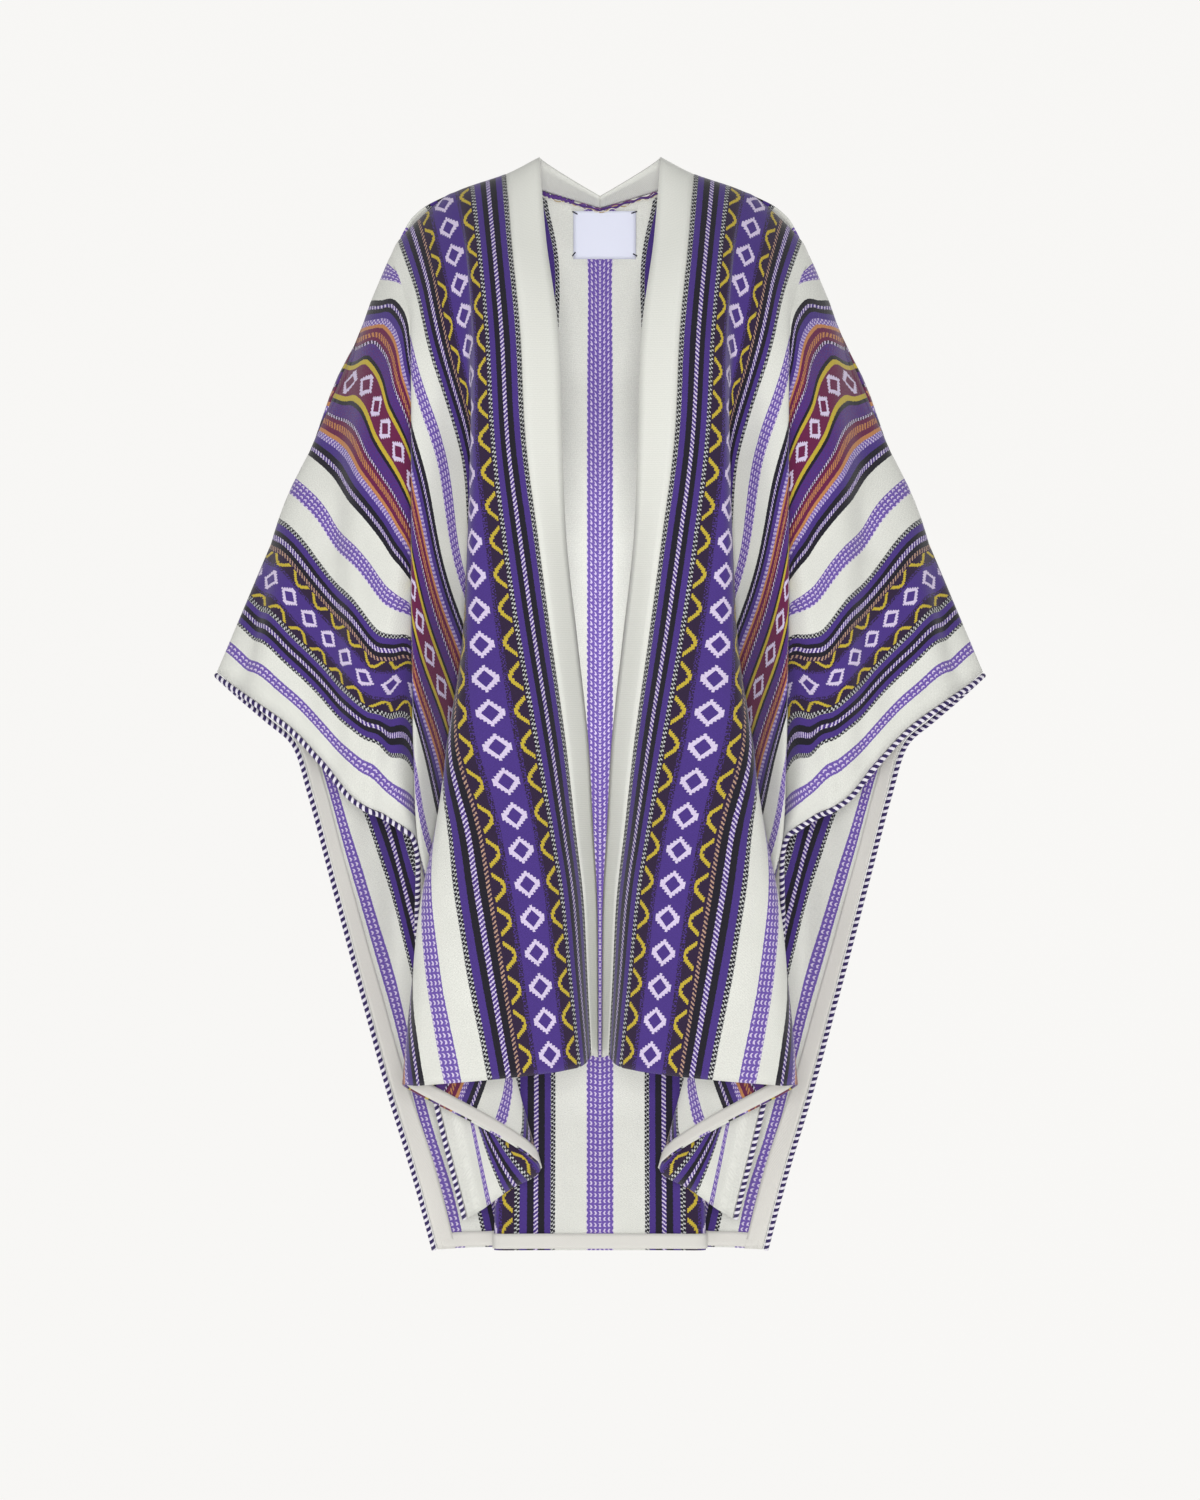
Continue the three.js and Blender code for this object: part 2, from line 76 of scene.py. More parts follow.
neckOuter = {"halfWidth": 98, "depth": 72, "shoulderZ": -18, "centreZ": -43, "power": 2.6}
neckInner = {"halfWidth": 63, "depth": 37, "shoulderZ": 0, "centreZ": -36, "power": 2}


def readTable(columns, rows):
    names = columns.split()
    return [dict(zip(names, row)) for row in rows]


# Rows run from below the shoulder to the hem, as in the part's own tables, all in mm
frontEdge = readTable("inX inY inZ seamX seamY seamZ stripeX stripeY", [
    (56, -50, -93, 91, -62, -100, 128, -64),
    (43, -82, -190, 82, -92, -191, 119, -94),
    (39, -97, -304, 76, -109, -305, 113, -111),
    (35, -92, -407, 63, -113, -408, 101, -118),
    (24, -76, -509, 50, -104, -510, 86, -121),
    (13, -69, -612, 36, -100, -612, 69, -122),
    (8, -60, -704, 26, -93, -704, 53, -122),
    (4, -56, -775, 18, -89, -775, 42, -121),
    (3, -49, -857, 14, -83, -857, 33, -118),
    (2.8, -40, -941, 10, -75, -937, 24, -112),
])
frontFold = readTable("roll crestX crestY crestZ crestU valleyX valleyY valleyZ valleyU", [
    (4, 137, -62, -117, 56, 147, -60, -122, 66),
    (7, 131, -87, -206, 62, 139, -76, -210, 76),
    (12, 132, -97, -312, 68, 130, -60, -318, 105),
    (14, 135, -102, -412, 83, 131, -60, -420, 124),
    (18, 141, -102, -520, 101, 128, -20, -530, 190),
    (20, 156, -98, -614, 125, 131, 2, -628, 238),
    (24, 169, -93, -704, 163, 132, 14, -722, 286),
    (28, 184, -86, -781, 190, 126, 26, -806, 330),
    (33, 194, -75, -875, 218, 104, 44, -915, 400),
    (38, 203, -60, -969, 250, 64, 60, -1069, 496),
])
sleeveFold = readTable("crestX crestY crestZ crestU valleyX valleyY valleyZ valleyU", [
    (194, -50, -140, 134, 203, -40, -152, 150),
    (193, -71, -219, 165, 192, -52, -232, 184),
    (193, -81, -323, 217, 187, -50, -340, 246),
    (193, -83, -421, 266, 181, -40, -442, 309),
    (192, -81, -524, 318, 172, -10, -550, 397),
    (191, -73, -627, 392, 165, 8, -655, 471),
    (187, -58, -715, 425, 164, 24, -745, 512),
    (168, -24, -812, 460, 158, 34, -830, 532),
    (150, 24, -930, 505, 146, 50, -945, 560),
    (96, 64, -1090, 540, 118, 66, -1106, 570),
])
sleeveEdge = readTable("fullY edgeX edgeY edgeZ", [
    (-34, 381, -18, -555),
    (-50, 352, -32, -574),
    (-58, 320, -42, -598),
    (-62, 285, -48, -635),
    (-62, 254, -52, -671),
    (-58, 223, -50, -689),
    (-27, 194, -38, -712),
    (12, 188, 10, -830),
    (40, 176, 36, -965),
    (63, 141, 60, -1120),
])
backCentre = readTable("centreY centreZ turnX turnY turnZ turnU", [
    (96, -108, 104, 70, -84, 104),
    (112, -214, 108, 104, -196, 106),
    (122, -322, 110, 120, -310, 108),
    (126, -430, 110, 127, -422, 109),
    (127, -540, 110, 129, -535, 110),
    (126, -652, 110, 128, -650, 110),
    (124, -772, 111, 126, -772, 111),
    (121, -900, 112, 122, -900, 111),
    (118, -1030, 112, 119, -1030, 111),
    (114, -1161, 113, 115, -1161, 111),
])
backFolds = readTable("innerX innerY firstX firstY betweenX betweenY secondX secondY lastX lastY", [
    (118, 69, 140, 66, 158, 62, 180, 56, 190, 52),
    (122, 106, 142, 110, 158, 98, 178, 94, 190, 84),
    (116, 128, 142, 150, 156, 112, 182, 126, 194, 98),
    (108, 140, 143, 186, 150, 120, 186, 156, 198, 106),
    (100, 148, 143, 214, 144, 128, 190, 184, 200, 112),
    (92, 154, 142, 234, 136, 140, 188, 204, 196, 124),
    (84, 158, 140, 246, 126, 154, 184, 218, 188, 138),
    (76, 161, 137, 252, 117, 168, 179, 226, 179, 150),
    (66, 163, 133, 254, 109, 180, 173, 230, 171, 160),
    (58, 164, 128, 252, 101, 190, 167, 230, 163, 168),
])
backSleeve = readTable("startX startY startZ startU fullY edgeX edgeY edgeZ", [
    (200, 46, -160, 250, 34, 377, 18, -563),
    (198, 66, -258, 330, 50, 349, 32, -588),
    (198, 70, -362, 400, 58, 322, 42, -613),
    (196, 72, -462, 455, 62, 304, 50, -669),
    (192, 78, -566, 505, 68, 285, 58, -744),
    (182, 90, -672, 530, 78, 267, 66, -816),
    (164, 106, -786, 545, 92, 246, 78, -898),
    (144, 122, -908, 556, 108, 223, 92, -987),
    (124, 138, -1034, 565, 124, 199, 108, -1071),
    (106, 150, -1161, 573, 138, 176, 126, -1161),
])


def mix(a, b, t):
    return a + (b - a) * t


def alongKeys(keys, i, t, before=None):
    # smooth curve through the keys, each (x, y, z, u), spaced by the root of their distance
    p1 = keys[i]
    p2 = keys[i + 1]
    p0 = keys[i - 1] if i > 0 else before
    if p0 is None:
        p0 = 2 * p1 - p2
    p3 = keys[i + 2] if i + 2 < len(keys) else 2 * p2 - p1
    d01 = math.sqrt(np.linalg.norm((p1 - p0)[:3])) + 1e-3
    d12 = math.sqrt(np.linalg.norm((p2 - p1)[:3])) + 1e-3
    d23 = math.sqrt(np.linalg.norm((p3 - p2)[:3])) + 1e-3
    start = ((p1 - p0) / d01 - (p2 - p0) / (d01 + d12)) * d12 + (p2 - p1)
    end = ((p3 - p2) / d23 - (p3 - p1) / (d12 + d23)) * d12 + (p2 - p1)
    return ((2 * t**3 - 3 * t**2 + 1) * p1 + (t**3 - 2 * t**2 + t) * start
            + (3 * t**2 - 2 * t**3) * p2 + (t**3 - t**2) * end)


seamLineSteps = 20      # in each stretch of the seam


def runsAlong(points):
    # length along the line at each of its points
    return np.concatenate([[0], np.cumsum(np.linalg.norm(np.diff(points, axis=0), axis=1))])


def makeSeamLine():
    keys = [np.array((x, 0.0, z, 0.0)) for x, z in seamCorners]
    points = []
    for i in range(len(keys) - 1):
        points += [alongKeys(keys, i, k / seamLineSteps) for k in range(seamLineSteps)]
    points.append(keys[-1])
    points = np.array(points)
    runs = runsAlong(points)
    return points, runs / runs[-1]


seamPoints, seamShares = makeSeamLine()


def seamKey(share, u):
    x = np.interp(share, seamShares, seamPoints[:, 0])
    z = np.interp(share, seamShares, seamPoints[:, 2])
    return np.array((x, 0.0, z, u))


def neckPoint(curve, turn, u=0.0):
    # turn is 0 at the shoulder and 1 at the centre back
    share = math.cos(turn * math.pi / 2)
    y = curve["depth"] * max(0.0, 1 - share ** curve["power"]) ** (1 / curve["power"])
    return np.array((curve["halfWidth"] * share, y, mix(curve["centreZ"], curve["shoulderZ"], share), u))


def frontKeys():
    width = cutSizes["frontWidth"]
    top = [np.array((neckInner["halfWidth"], 0.0, neckInner["shoulderZ"], -cutSizes["bandWidth"]))]
    top += [seamKey(u / width, u) for u in frontSeamStops]
    rows = [top]
    for edge, fold, arm, side in zip(frontEdge, frontFold, sleeveFold, sleeveEdge):
        outU = min(2 * arm["valleyU"] - arm["crestU"], mix(arm["valleyU"], width, 0.8))
        cover = min(1, (width - outU) / 60)     # less than 1 where little cloth is left beyond the valley
        start = (
            mix(mix(arm["valleyX"], side["edgeX"], 0.5), arm["crestX"] + 2, cover),
            mix(mix(arm["valleyY"], side["edgeY"], 0.5), mix(arm["crestY"], arm["valleyY"], 0.45), cover),
            mix(mix(arm["valleyZ"], side["edgeZ"], 0.5), arm["valleyZ"] + 6, cover),
            outU,
        )
        rows.append([np.array(key, dtype=float) for key in (
            (edge["inX"], edge["inY"], edge["inZ"], -cutSizes["bandWidth"]),
            (edge["seamX"], edge["seamY"], edge["seamZ"], 0),
            (edge["stripeX"], edge["stripeY"], mix(edge["seamZ"], fold["crestZ"], 0.3),
             cutSizes["innerStripes"]),
            (fold["crestX"] - 0.5 * fold["roll"], fold["crestY"] - fold["roll"],
             mix(edge["seamZ"], fold["crestZ"], 0.9), fold["crestU"] - 1.2 * fold["roll"]),
            (fold["crestX"], fold["crestY"], fold["crestZ"], fold["crestU"]),
            (fold["valleyX"], fold["valleyY"], fold["valleyZ"], fold["valleyU"]),
            (arm["crestX"], arm["crestY"], arm["crestZ"], arm["crestU"]),
            (arm["valleyX"], arm["valleyY"], arm["valleyZ"], arm["valleyU"]),
            start,
            (mix(start[0], side["edgeX"], 0.5), side["fullY"], mix(start[2], side["edgeZ"], 0.5),
             mix(outU, width, 0.5)),
            (side["edgeX"], side["edgeY"], side["edgeZ"], width),
        )])
    return rows


foldNames = ["inner", "first", "between", "second", "last"]


def backKeys():
    half = cutSizes["backHalfWidth"]
    shoulder = cutSizes["shoulderOnBack"]
    top = [neckPoint(neckOuter, 1, 0), neckPoint(neckOuter, 0.45, 0.62 * shoulder)]
    top += [seamKey((u - shoulder) / (half - shoulder), u) for u in backSeamStops]
    rows = [top]
    for middle, fold, sleeve in zip(backCentre, backFolds, backSleeve):
        turns = [(middle["turnX"], middle["turnY"])]
        turns += [(fold[name + "X"], fold[name + "Y"]) for name in foldNames]
        turns.append((sleeve["startX"], sleeve["startY"]))
        turns = np.array(turns, dtype=float)
        runs = runsAlong(turns)
        shares = runs / runs[-1]
        row = [
            np.array((0.0, middle["centreY"], middle["centreZ"], 0.0)),
            np.array((0.55 * middle["turnX"], mix(middle["centreY"], middle["turnY"], 0.25),
                      mix(middle["centreZ"], middle["turnZ"], 0.5), 60.0)),
        ]
        for (x, y), share in zip(turns, shares):
            row.append(np.array((x, y, mix(middle["turnZ"], sleeve["startZ"], share),
                                 mix(middle["turnU"], sleeve["startU"], share))))
        row.append(np.array((mix(sleeve["startX"], sleeve["edgeX"], 0.5), sleeve["fullY"],
                             mix(sleeve["startZ"], sleeve["edgeZ"], 0.5), mix(sleeve["startU"], half, 0.5))))
        row.append(np.array((sleeve["edgeX"], sleeve["edgeY"], sleeve["edgeZ"], float(half))))
        rows.append(row)
    return rows


def sampleSheet(keyRows, rowSteps, columnSteps):
    columns = list(zip(*keyRows))
    lines = [(i, k / rowSteps) for i in range(len(keyRows) - 1) for k in range(rowSteps)]
    lines.append((len(keyRows) - 2, 1.0))
    grid = []
    for i, t in lines:
        keys = []
        for column in columns:
            over = column[1] * np.array((1, -1, 1, 1)) if abs(column[0][1]) < 1 else None
            keys.append(alongKeys(column, i, t, over))
        row = []
        for k, steps in enumerate(columnSteps):
            row += [alongKeys(keys, k, s / steps) for s in range(steps)]
        row.append(keys[-1])
        grid.append(row)
    return np.array(grid)


def clothLengths(grid, topLength):
    # w for each point: length along the column from the hem, scaled to the cut's length there
    steps = np.linalg.norm(np.diff(grid[:, :, :3], axis=0), axis=2)
    across = np.diff(grid[:, :, 3], axis=0)
    runs = np.sqrt(np.maximum(steps**2 - across**2, (0.6 * steps) ** 2))
    w = np.zeros(grid.shape[:2])
    w[:-1] = np.cumsum(runs[::-1], axis=0)[::-1]
    w *= topLength(grid[0, :, 3]) / w[0]
    blurred = w.copy()
    for _ in range(6):
        blurred[:, 1:-1] = (blurred[:, :-2] + 2 * blurred[:, 1:-1] + blurred[:, 2:]) / 4
    return blurred


def gridNormals(grid, facing):
    points = grid[:, :, :3]
    down = np.gradient(points, axis=0)
    across = np.gradient(points, axis=1)
    normals = np.cross(down, across) * facing
    onSeam = np.abs(grid[0, :, 1]) < 1
    normals[0, onSeam, 1] = 0
    return normals / np.maximum(np.linalg.norm(normals, axis=2, keepdims=True), 1e-9)


def newObject(name, bm):
    mesh = bpy.data.meshes.new(name)
    bm.to_mesh(mesh)
    bm.free()
    piece = bpy.data.objects.new(name, mesh)
    bpy.context.scene.collection.objects.link(piece)
    mesh.shade_smooth()
    return piece


def gridMesh(points, uvs):
    # a flat grid whose corners, made row by row, are then carried to their places
    rows, cols = points.shape[:2]
    bm = bmesh.new()
    bmesh.ops.create_grid(bm, x_segments=cols - 1, y_segments=rows - 1, size=0.5)
    bm.verts.ensure_lookup_table()
    uvLayer = bm.loops.layers.uv.new("cloth")
    for vert in bm.verts:
        vert.co = Vector(points[divmod(vert.index, cols)] * mm)
    for face in bm.faces:
        for loop in face.loops:
            loop[uvLayer].uv = uvs[divmod(loop.vert.index, cols)] * mm
    return bm


def sheetMesh(name, points, uvs, flip=False):
    bm = gridMesh(points, uvs)
    if flip:
        bmesh.ops.reverse_faces(bm, faces=bm.faces)
    return newObject(name, bm)


def addWall(piece, thickness):
    # even wall on both sides of the sheet
    solid = piece.modifiers.new("wall", "SOLIDIFY")
    solid.thickness = thickness * mm
    solid.offset = 0
    solid.use_rim = True
    solid.use_even_offset = False


def flipped(points):
    return points * np.array((-1, 1, 1))


def onSide(side, points):
    # everything is worked out for the wearer's left and mirrored for the right
    return points if side == "left" else flipped(points)


def cordMesh(name, centres, normals, radius, sides=12):
    # round cord along its centres; the UV's x goes round it and y along it
    runs = runsAlong(centres)
    along = np.gradient(centres, axis=0)
    along /= np.linalg.norm(along, axis=1, keepdims=True)
    side = np.cross(along, normals)
    side /= np.linalg.norm(side, axis=1, keepdims=True)
    up = np.cross(side, along)
    turns = np.linspace(0, 2 * math.pi, sides + 1)
    rings = [side * math.cos(turn) + up * math.sin(turn) for turn in turns]
    points = np.stack([centres + radius * ring for ring in rings], axis=1)
    uvs = np.stack([np.stack([turn * radius + 0 * runs, runs], axis=1) for turn in turns], axis=1)
    bm = gridMesh(points, uvs)
    bmesh.ops.remove_doubles(bm, verts=bm.verts, dist=1e-6)
    bmesh.ops.holes_fill(bm, edges=[e for e in bm.edges if e.is_boundary], sides=0)
    bmesh.ops.recalc_face_normals(bm, faces=bm.faces)
    return newObject(name, bm)


# Ripples seen from the front: each runs from one point to another in x and z,
# rises by lift square to the cloth, and moves the weave by shift across the stripes
def ripple(points, grid, rows):
    lift = np.zeros(grid.shape[:2])
    shift = np.zeros(grid.shape[:2])
    for row in rows:
        start = np.array((row["fromX"], row["fromZ"]), dtype=float)
        run = np.array((row["toX"], row["toZ"]), dtype=float) - start
        offset = points[:, :, (0, 2)] - start
        share = np.clip((offset @ run) / (run @ run), -0.3, 1.3)
        away = np.linalg.norm(offset - share[..., None] * run, axis=2)
        ends = np.clip(np.minimum(share + 0.3, 1.3 - share) / 0.45, 0, 1)
        inside = (grid[:, :, 3] > row["fromU"]) & (grid[:, :, 3] < row["toU"])
        reach = np.exp(-((away / row["width"]) ** 2)) * ends**2 * (3 - 2 * ends) * inside
        lift += row["lift"] * reach
        shift += row["shift"] * reach
    return lift, shift


frontRipples = readTable("fromX fromZ toX toZ fromU toU width lift shift", [
    (262, -150, 300, -560, 130, 640, 17, -5, -2),
    (236, -190, 262, -640, 130, 640, 15, 5, 3),
    (318, -330, 352, -560, 130, 640, 15, 4, 3),
    (345, -420, 372, -545, 130, 640, 10, -4, -3),
    (280, -350, 268, -660, 130, 640, 12, -4, -2),
    (205, -300, 222, -690, 130, 640, 12, -3, -3),
    (208, -420, 240, -690, 300, 640, 9, 4, 3),
    (215, -120, 208, -330, 120, 400, 10, 3, 2),
    (168, -150, 172, -330, 90, 250, 11, 3, 0),
    (104, -380, 96, -620, 0, 200, 16, -2.5, 0),
    (70, -760, 130, -930, 20, 260, 26, 3, 1),
    (150, -640, 168, -940, 130, 300, 12, -3, -1),
])
backRipples = readTable("fromX fromZ toX toZ fromU toU width lift shift", [
    (270, -170, 296, -600, 200, 700, 17, 5, 3),
    (240, -180, 262, -700, 200, 700, 14, -5, -3),
    (322, -330, 340, -570, 200, 700, 13, -4, -3),
    (225, -500, 215, -900, 300, 700, 14, 5, 3),
    (205, -700, 180, -1060, 400, 700, 15, -5, -4),
    (160, -880, 150, -1120, 400, 700, 13, 4, 3),
    (40, -160, 52, -560, -10, 90, 22, 3, 0),
    (70, -620, 60, -1060, -10, 100, 20, -3, 0),
    (22, -640, 16, -1000, -10, 90, 18, 2.5, 0),
])


# Woven stripes from the neckband outward: width in mm, weave, and one or two yarns.
# The back starts a half centre stripe further in, at startU.
yarns = {
    "cream": "#E6E7E0",
    "violet": "#4B3486",
    "lavender": "#7158AE",
    "lilac": "#DCCFEC",
    "black": "#1D1A26",
    "aubergine": "#2F1F3C",
    "plum": "#5A2A78",
    "maroon": "#6B1E4A",
    "orange": "#C58652",
    "sand": "#BE9A84",
    "yellow": "#C8B13A",
    "grey": "#CDCFCE",
}
weaves = {"plain": 0.0, "speckle": 0.2, "twist": 0.4, "wavy": 0.6, "mottle": 0.8, "zigzag": 1.0}
twistGroup = [
    (5, "speckle", "black", "grey"),
    (6.5, "plain", "violet"),
    (6, "plain", "black"),
    (4, "twist", "violet", "lilac"),
    (6, "plain", "black"),
    (6, "plain", "violet"),
    (4.5, "speckle", "black", "grey"),
]
diamondGroup = [
    (12.5, "zigzag", "aubergine", "yellow"),
    (4, "mottle", "aubergine", "violet"),
    (28, "plain", "violet"),
    (4, "mottle", "aubergine", "violet"),
    (12.5, "zigzag", "aubergine", "yellow"),
]
outerGroup = [
    (4, "twist", "aubergine", "sand"),
    (6, "plain", "black"),
    (5, "twist", "violet", "lilac"),
    (6, "plain", "black"),
    (7, "plain", "violet"),
    (5.5, "speckle", "black", "grey"),
]
warmGroup = [
    (6, "plain", "black"),
    (4, "twist", "violet", "lilac"),
    (5, "plain", "black"),
    (7, "plain", "violet"),
    (6, "speckle", "lavender", "lilac"),
    (4, "plain", "orange"),
    (5, "plain", "maroon"),
    (5, "twist", "orange", "maroon"),
    (4, "plain", "maroon"),
    (3, "twist", "aubergine", "lilac"),
    (12, "mottle", "plum", "violet"),
    (4, "plain", "black"),
    (4.5, "plain", "yellow"),
]
sleeveShare = 0.85     # the band near the sleeve's edge is narrower than the one on the front


def narrowed(stripes, share):
    return [(stripe[0] * share,) + stripe[1:] for stripe in stripes]


def paleGroup(before, middle, after):
    # a lavender stripe between two cream ones
    widths = [(before, "plain", "cream"), (middle, "wavy", "lavender", "lilac")]
    return widths + [(after, "plain", "cream")]


innerGroup = [(13.5, "wavy", "lavender", "lilac"), (33, "plain", "cream")]
sleeveGroup = narrowed(outerGroup[::-1] + diamondGroup + twistGroup, sleeveShare)
stripeBands = [
    {"startU": -46.5, "stripes": innerGroup + twistGroup + diamondGroup + outerGroup},
    {"startU": 132.5, "stripes": paleGroup(25, 18, 23) + warmGroup + [(27, "plain", "maroon")]},
    {"startU": 295, "stripes": warmGroup[::-1] + paleGroup(28.5, 16.5, 26.5)},
    {"startU": 436, "stripes": sleeveGroup + paleGroup(18, 11, 60)},
]
# u of the middle of each row of diamonds, and the share of its full width
diamondLines = [(68.5, 1), (281.5, 1), (490.4, sleeveShare)]
diamondPitch = 33.5
firstDiamond = 18                     # above the hem


def linear(code):
    parts = [int(code[i:i + 2], 16) / 255 for i in (1, 3, 5)]
    return [c / 12.92 if c <= 0.04045 else ((c + 0.055) / 1.055) ** 2.4 for c in parts]


def newMaterial(name):
    material = bpy.data.materials.new(name)
    material.use_nodes = True
    material.node_tree.nodes.clear()
    return material


def addNode(tree, kind, inputs=None, **settings):
    # one node with its settings; each input is a number, a colour, a socket, or a node for its first output
    node = tree.nodes.new("ShaderNode" + kind)
    for key, value in settings.items():
        setattr(node, key, value)
    for key, value in (inputs or {}).items():
        if isinstance(value, bpy.types.Node):
            value = value.outputs[0]
        if isinstance(value, bpy.types.NodeSocket):
            tree.links.new(value, node.inputs[key])
        else:
            node.inputs[key].default_value = value
    return node


def clothMaterial(name):
    # its patterns follow the cloth's own UV map, x across the stripes and y along them
    material = newMaterial(name)
    uvMap = addNode(material.node_tree, "UVMap", uv_map="cloth")
    place = addNode(material.node_tree, "SeparateXYZ", {0: uvMap})
    return material, material.node_tree, uvMap, place


wool = {                      # in mm, or shares where so named
    "hairSize": 1.3,
    "cloudSize": 60,          # uneven dye
    "fuzzSize": 1.1,          # the hairs that blur each stripe's edge
    "fuzzReach": 0.9,
    "twillPitch": 2.3,        # mm between the diagonal ribs, drawn about twice as coarse as real
    "threadPitch": 1.7,
    "cellWidth": 2.4,         # one stitch of the diamonds
    "cellHeight": 2.4,
    "diamondSteps": 5.5,      # stitches from the middle to a corner, and to the blunt side corners
    "diamondBlunt": 4.5,
    "holeHalfWidth": 6.8,
    "holeHalfHeight": 8.4,
    "arcStitch": 1.6,
    "arcFoot": 29,            # from the diamonds' middle line, where an arc starts and where it turns
    "arcTip": 17.4,
    "arcHalfLength": 14.2,
    "arcRoundness": 1.25,     # 1 would be a pointed zigzag, 2 a round arc
    "arcLine": 0.88,          # the arc's own place and half thickness, as shares of its size
    "arcHalfThickness": 0.21,
    "speckleColumn": 2.4,
    "speckleLength": 4.4,
    "speckleLean": 0.55,
    "speckleShare": 0.34,
    "plyPitch": 4.4,
    "plyLean": 0.9,
    "plyShare": 0.42,
    "wavePitch": 6.4,
    "waveSwing": 0.8,
    "waveLane": 2.3,
    "waveWidth": 0.9,
    "waveGap": -0.45,         # the sine below which a column is broken
    "fleck": 1.6,
    "fleckShare": 0.52,
}


def stripedWool():
    # brushed blanket wool, stripes woven lengthwise: matt, softly hairy, pale bloom at grazing angles
    material, tree, uvMap, place = clothMaterial("blanketWoolWoven")
    fuzz = addNode(tree, "TexNoise", {"Vector": uvMap, "Scale": 1000 / wool["fuzzSize"], "Detail": 1.5})
    fuzzMove = addNode(tree, "MapRange", {0: fuzz, 3: -wool["fuzzReach"], 4: wool["fuzzReach"]})
    u = addNode(tree, "Math", {0: place.outputs["X"], 1: 1000, 2: fuzzMove}, operation="MULTIPLY_ADD")
    w = addNode(tree, "Math", {0: place.outputs["Y"], 1: 1000, 2: fuzzMove}, operation="MULTIPLY_ADD")

    # the stripe table as colour ramps: first yarn with the weave in its alpha, and second yarn
    first = second = weave = None
    for band in stripeBands:
        total = sum(stripe[0] for stripe in band["stripes"])
        share = addNode(tree, "MapRange", {0: u, 1: band["startU"], 2: band["startU"] + total})
        rampOne = addNode(tree, "ValToRGB", {0: share})
        rampTwo = addNode(tree, "ValToRGB", {0: share})
        start = 0
        for ramp in (rampOne, rampTwo):
            ramp.color_ramp.interpolation = "CONSTANT"
            ramp.color_ramp.elements.remove(ramp.color_ramp.elements[1])
        for n, stripe in enumerate(band["stripes"]):
            for ramp, yarn in ((rampOne, 2), (rampTwo, -1)):
                stops = ramp.color_ramp.elements
                stop = stops[0] if n == 0 else stops.new(start / total)
                stop.color = linear(yarns[stripe[yarn]]) + [weaves[stripe[1]]]
            start += stripe[0]
        if first is None:
            first, second, weave = rampOne, rampTwo, rampOne.outputs["Alpha"]
            continue
        beyond = addNode(tree, "Math", {0: u, 1: band["startU"]}, operation="GREATER_THAN")
        first = addNode(tree, "MixRGB", {0: beyond, 1: first, 2: rampOne})
        second = addNode(tree, "MixRGB", {0: beyond, 1: second, 2: rampTwo})
        weave = addNode(tree, "Mix", {0: beyond, 2: weave, 3: rampOne.outputs["Alpha"]})

    # distances to the nearest diamond centre, across and along
    across = None
    for line, share in diamondLines:
        side = addNode(tree, "Math", {0: u, 1: line}, operation="SUBTRACT")
        side = addNode(tree, "Math", {0: side}, operation="ABSOLUTE")
        side = addNode(tree, "Math", {0: side, 1: share}, operation="DIVIDE")
        across = side if across is None else addNode(tree, "Math", {0: across, 1: side}, operation="MINIMUM")
    above = addNode(tree, "Math", {0: w, 1: firstDiamond}, operation="SUBTRACT")
    along = addNode(tree, "Math", {0: above, 1: diamondPitch / 2}, operation="PINGPONG")

    # diamond: stepped outside in whole stitches, open in the middle
    acrossCell = addNode(tree, "Math", {0: across, 1: wool["cellWidth"]}, operation="DIVIDE")
    acrossCell = addNode(tree, "Math", {0: acrossCell}, operation="ROUND")
    alongCell = addNode(tree, "Math", {0: along, 1: wool["cellHeight"]}, operation="DIVIDE")
    alongCell = addNode(tree, "Math", {0: alongCell}, operation="ROUND")
    cells = addNode(tree, "Math", {0: acrossCell, 1: alongCell}, operation="ADD")
    stepped = addNode(tree, "Math", {0: cells, 1: wool["diamondSteps"]}, operation="LESS_THAN")
    blunt = addNode(tree, "Math", {0: acrossCell, 1: wool["diamondBlunt"]}, operation="LESS_THAN")
    hole = addNode(tree, "Math", {0: across, 1: 1 / wool["holeHalfWidth"]}, operation="MULTIPLY")
    hole = addNode(tree, "Math", {0: along, 1: 1 / wool["holeHalfHeight"], 2: hole}, operation="MULTIPLY_ADD")
    ring = addNode(tree, "Math", {0: hole, 1: 1}, operation="GREATER_THAN")
    ring = addNode(tree, "Math", {0: ring, 1: stepped}, operation="MULTIPLY")
    diamond = addNode(tree, "Math", {0: ring, 1: blunt}, operation="MULTIPLY")

    # zigzag: a row of yellow arcs, nearly pointed, that bulge toward the diamonds in small steps
    acrossStitch = addNode(tree, "Math", {0: across, 1: wool["arcStitch"]}, operation="SNAP")
    alongStitch = addNode(tree, "Math", {0: along, 1: wool["arcStitch"]}, operation="SNAP")
    bulge = addNode(tree, "MapRange", {0: acrossStitch, 1: wool["arcFoot"], 2: wool["arcTip"]})
    rise = addNode(tree, "Math", {0: alongStitch, 1: 1 / wool["arcHalfLength"]}, operation="MULTIPLY")
    bulgePower = addNode(tree, "Math", {0: bulge, 1: wool["arcRoundness"]}, operation="POWER")
    risePower = addNode(tree, "Math", {0: rise, 1: wool["arcRoundness"]}, operation="POWER")
    arcs = addNode(tree, "Math", {0: bulgePower, 1: risePower}, operation="ADD")
    arc = addNode(tree, "Math", {
        0: arcs, 1: wool["arcLine"], 2: wool["arcHalfThickness"]}, operation="COMPARE")
    nearSide = addNode(tree, "Math", {0: bulge, 1: 0.02}, operation="GREATER_THAN")
    arc = addNode(tree, "Math", {0: arc, 1: nearSide}, operation="MULTIPLY")

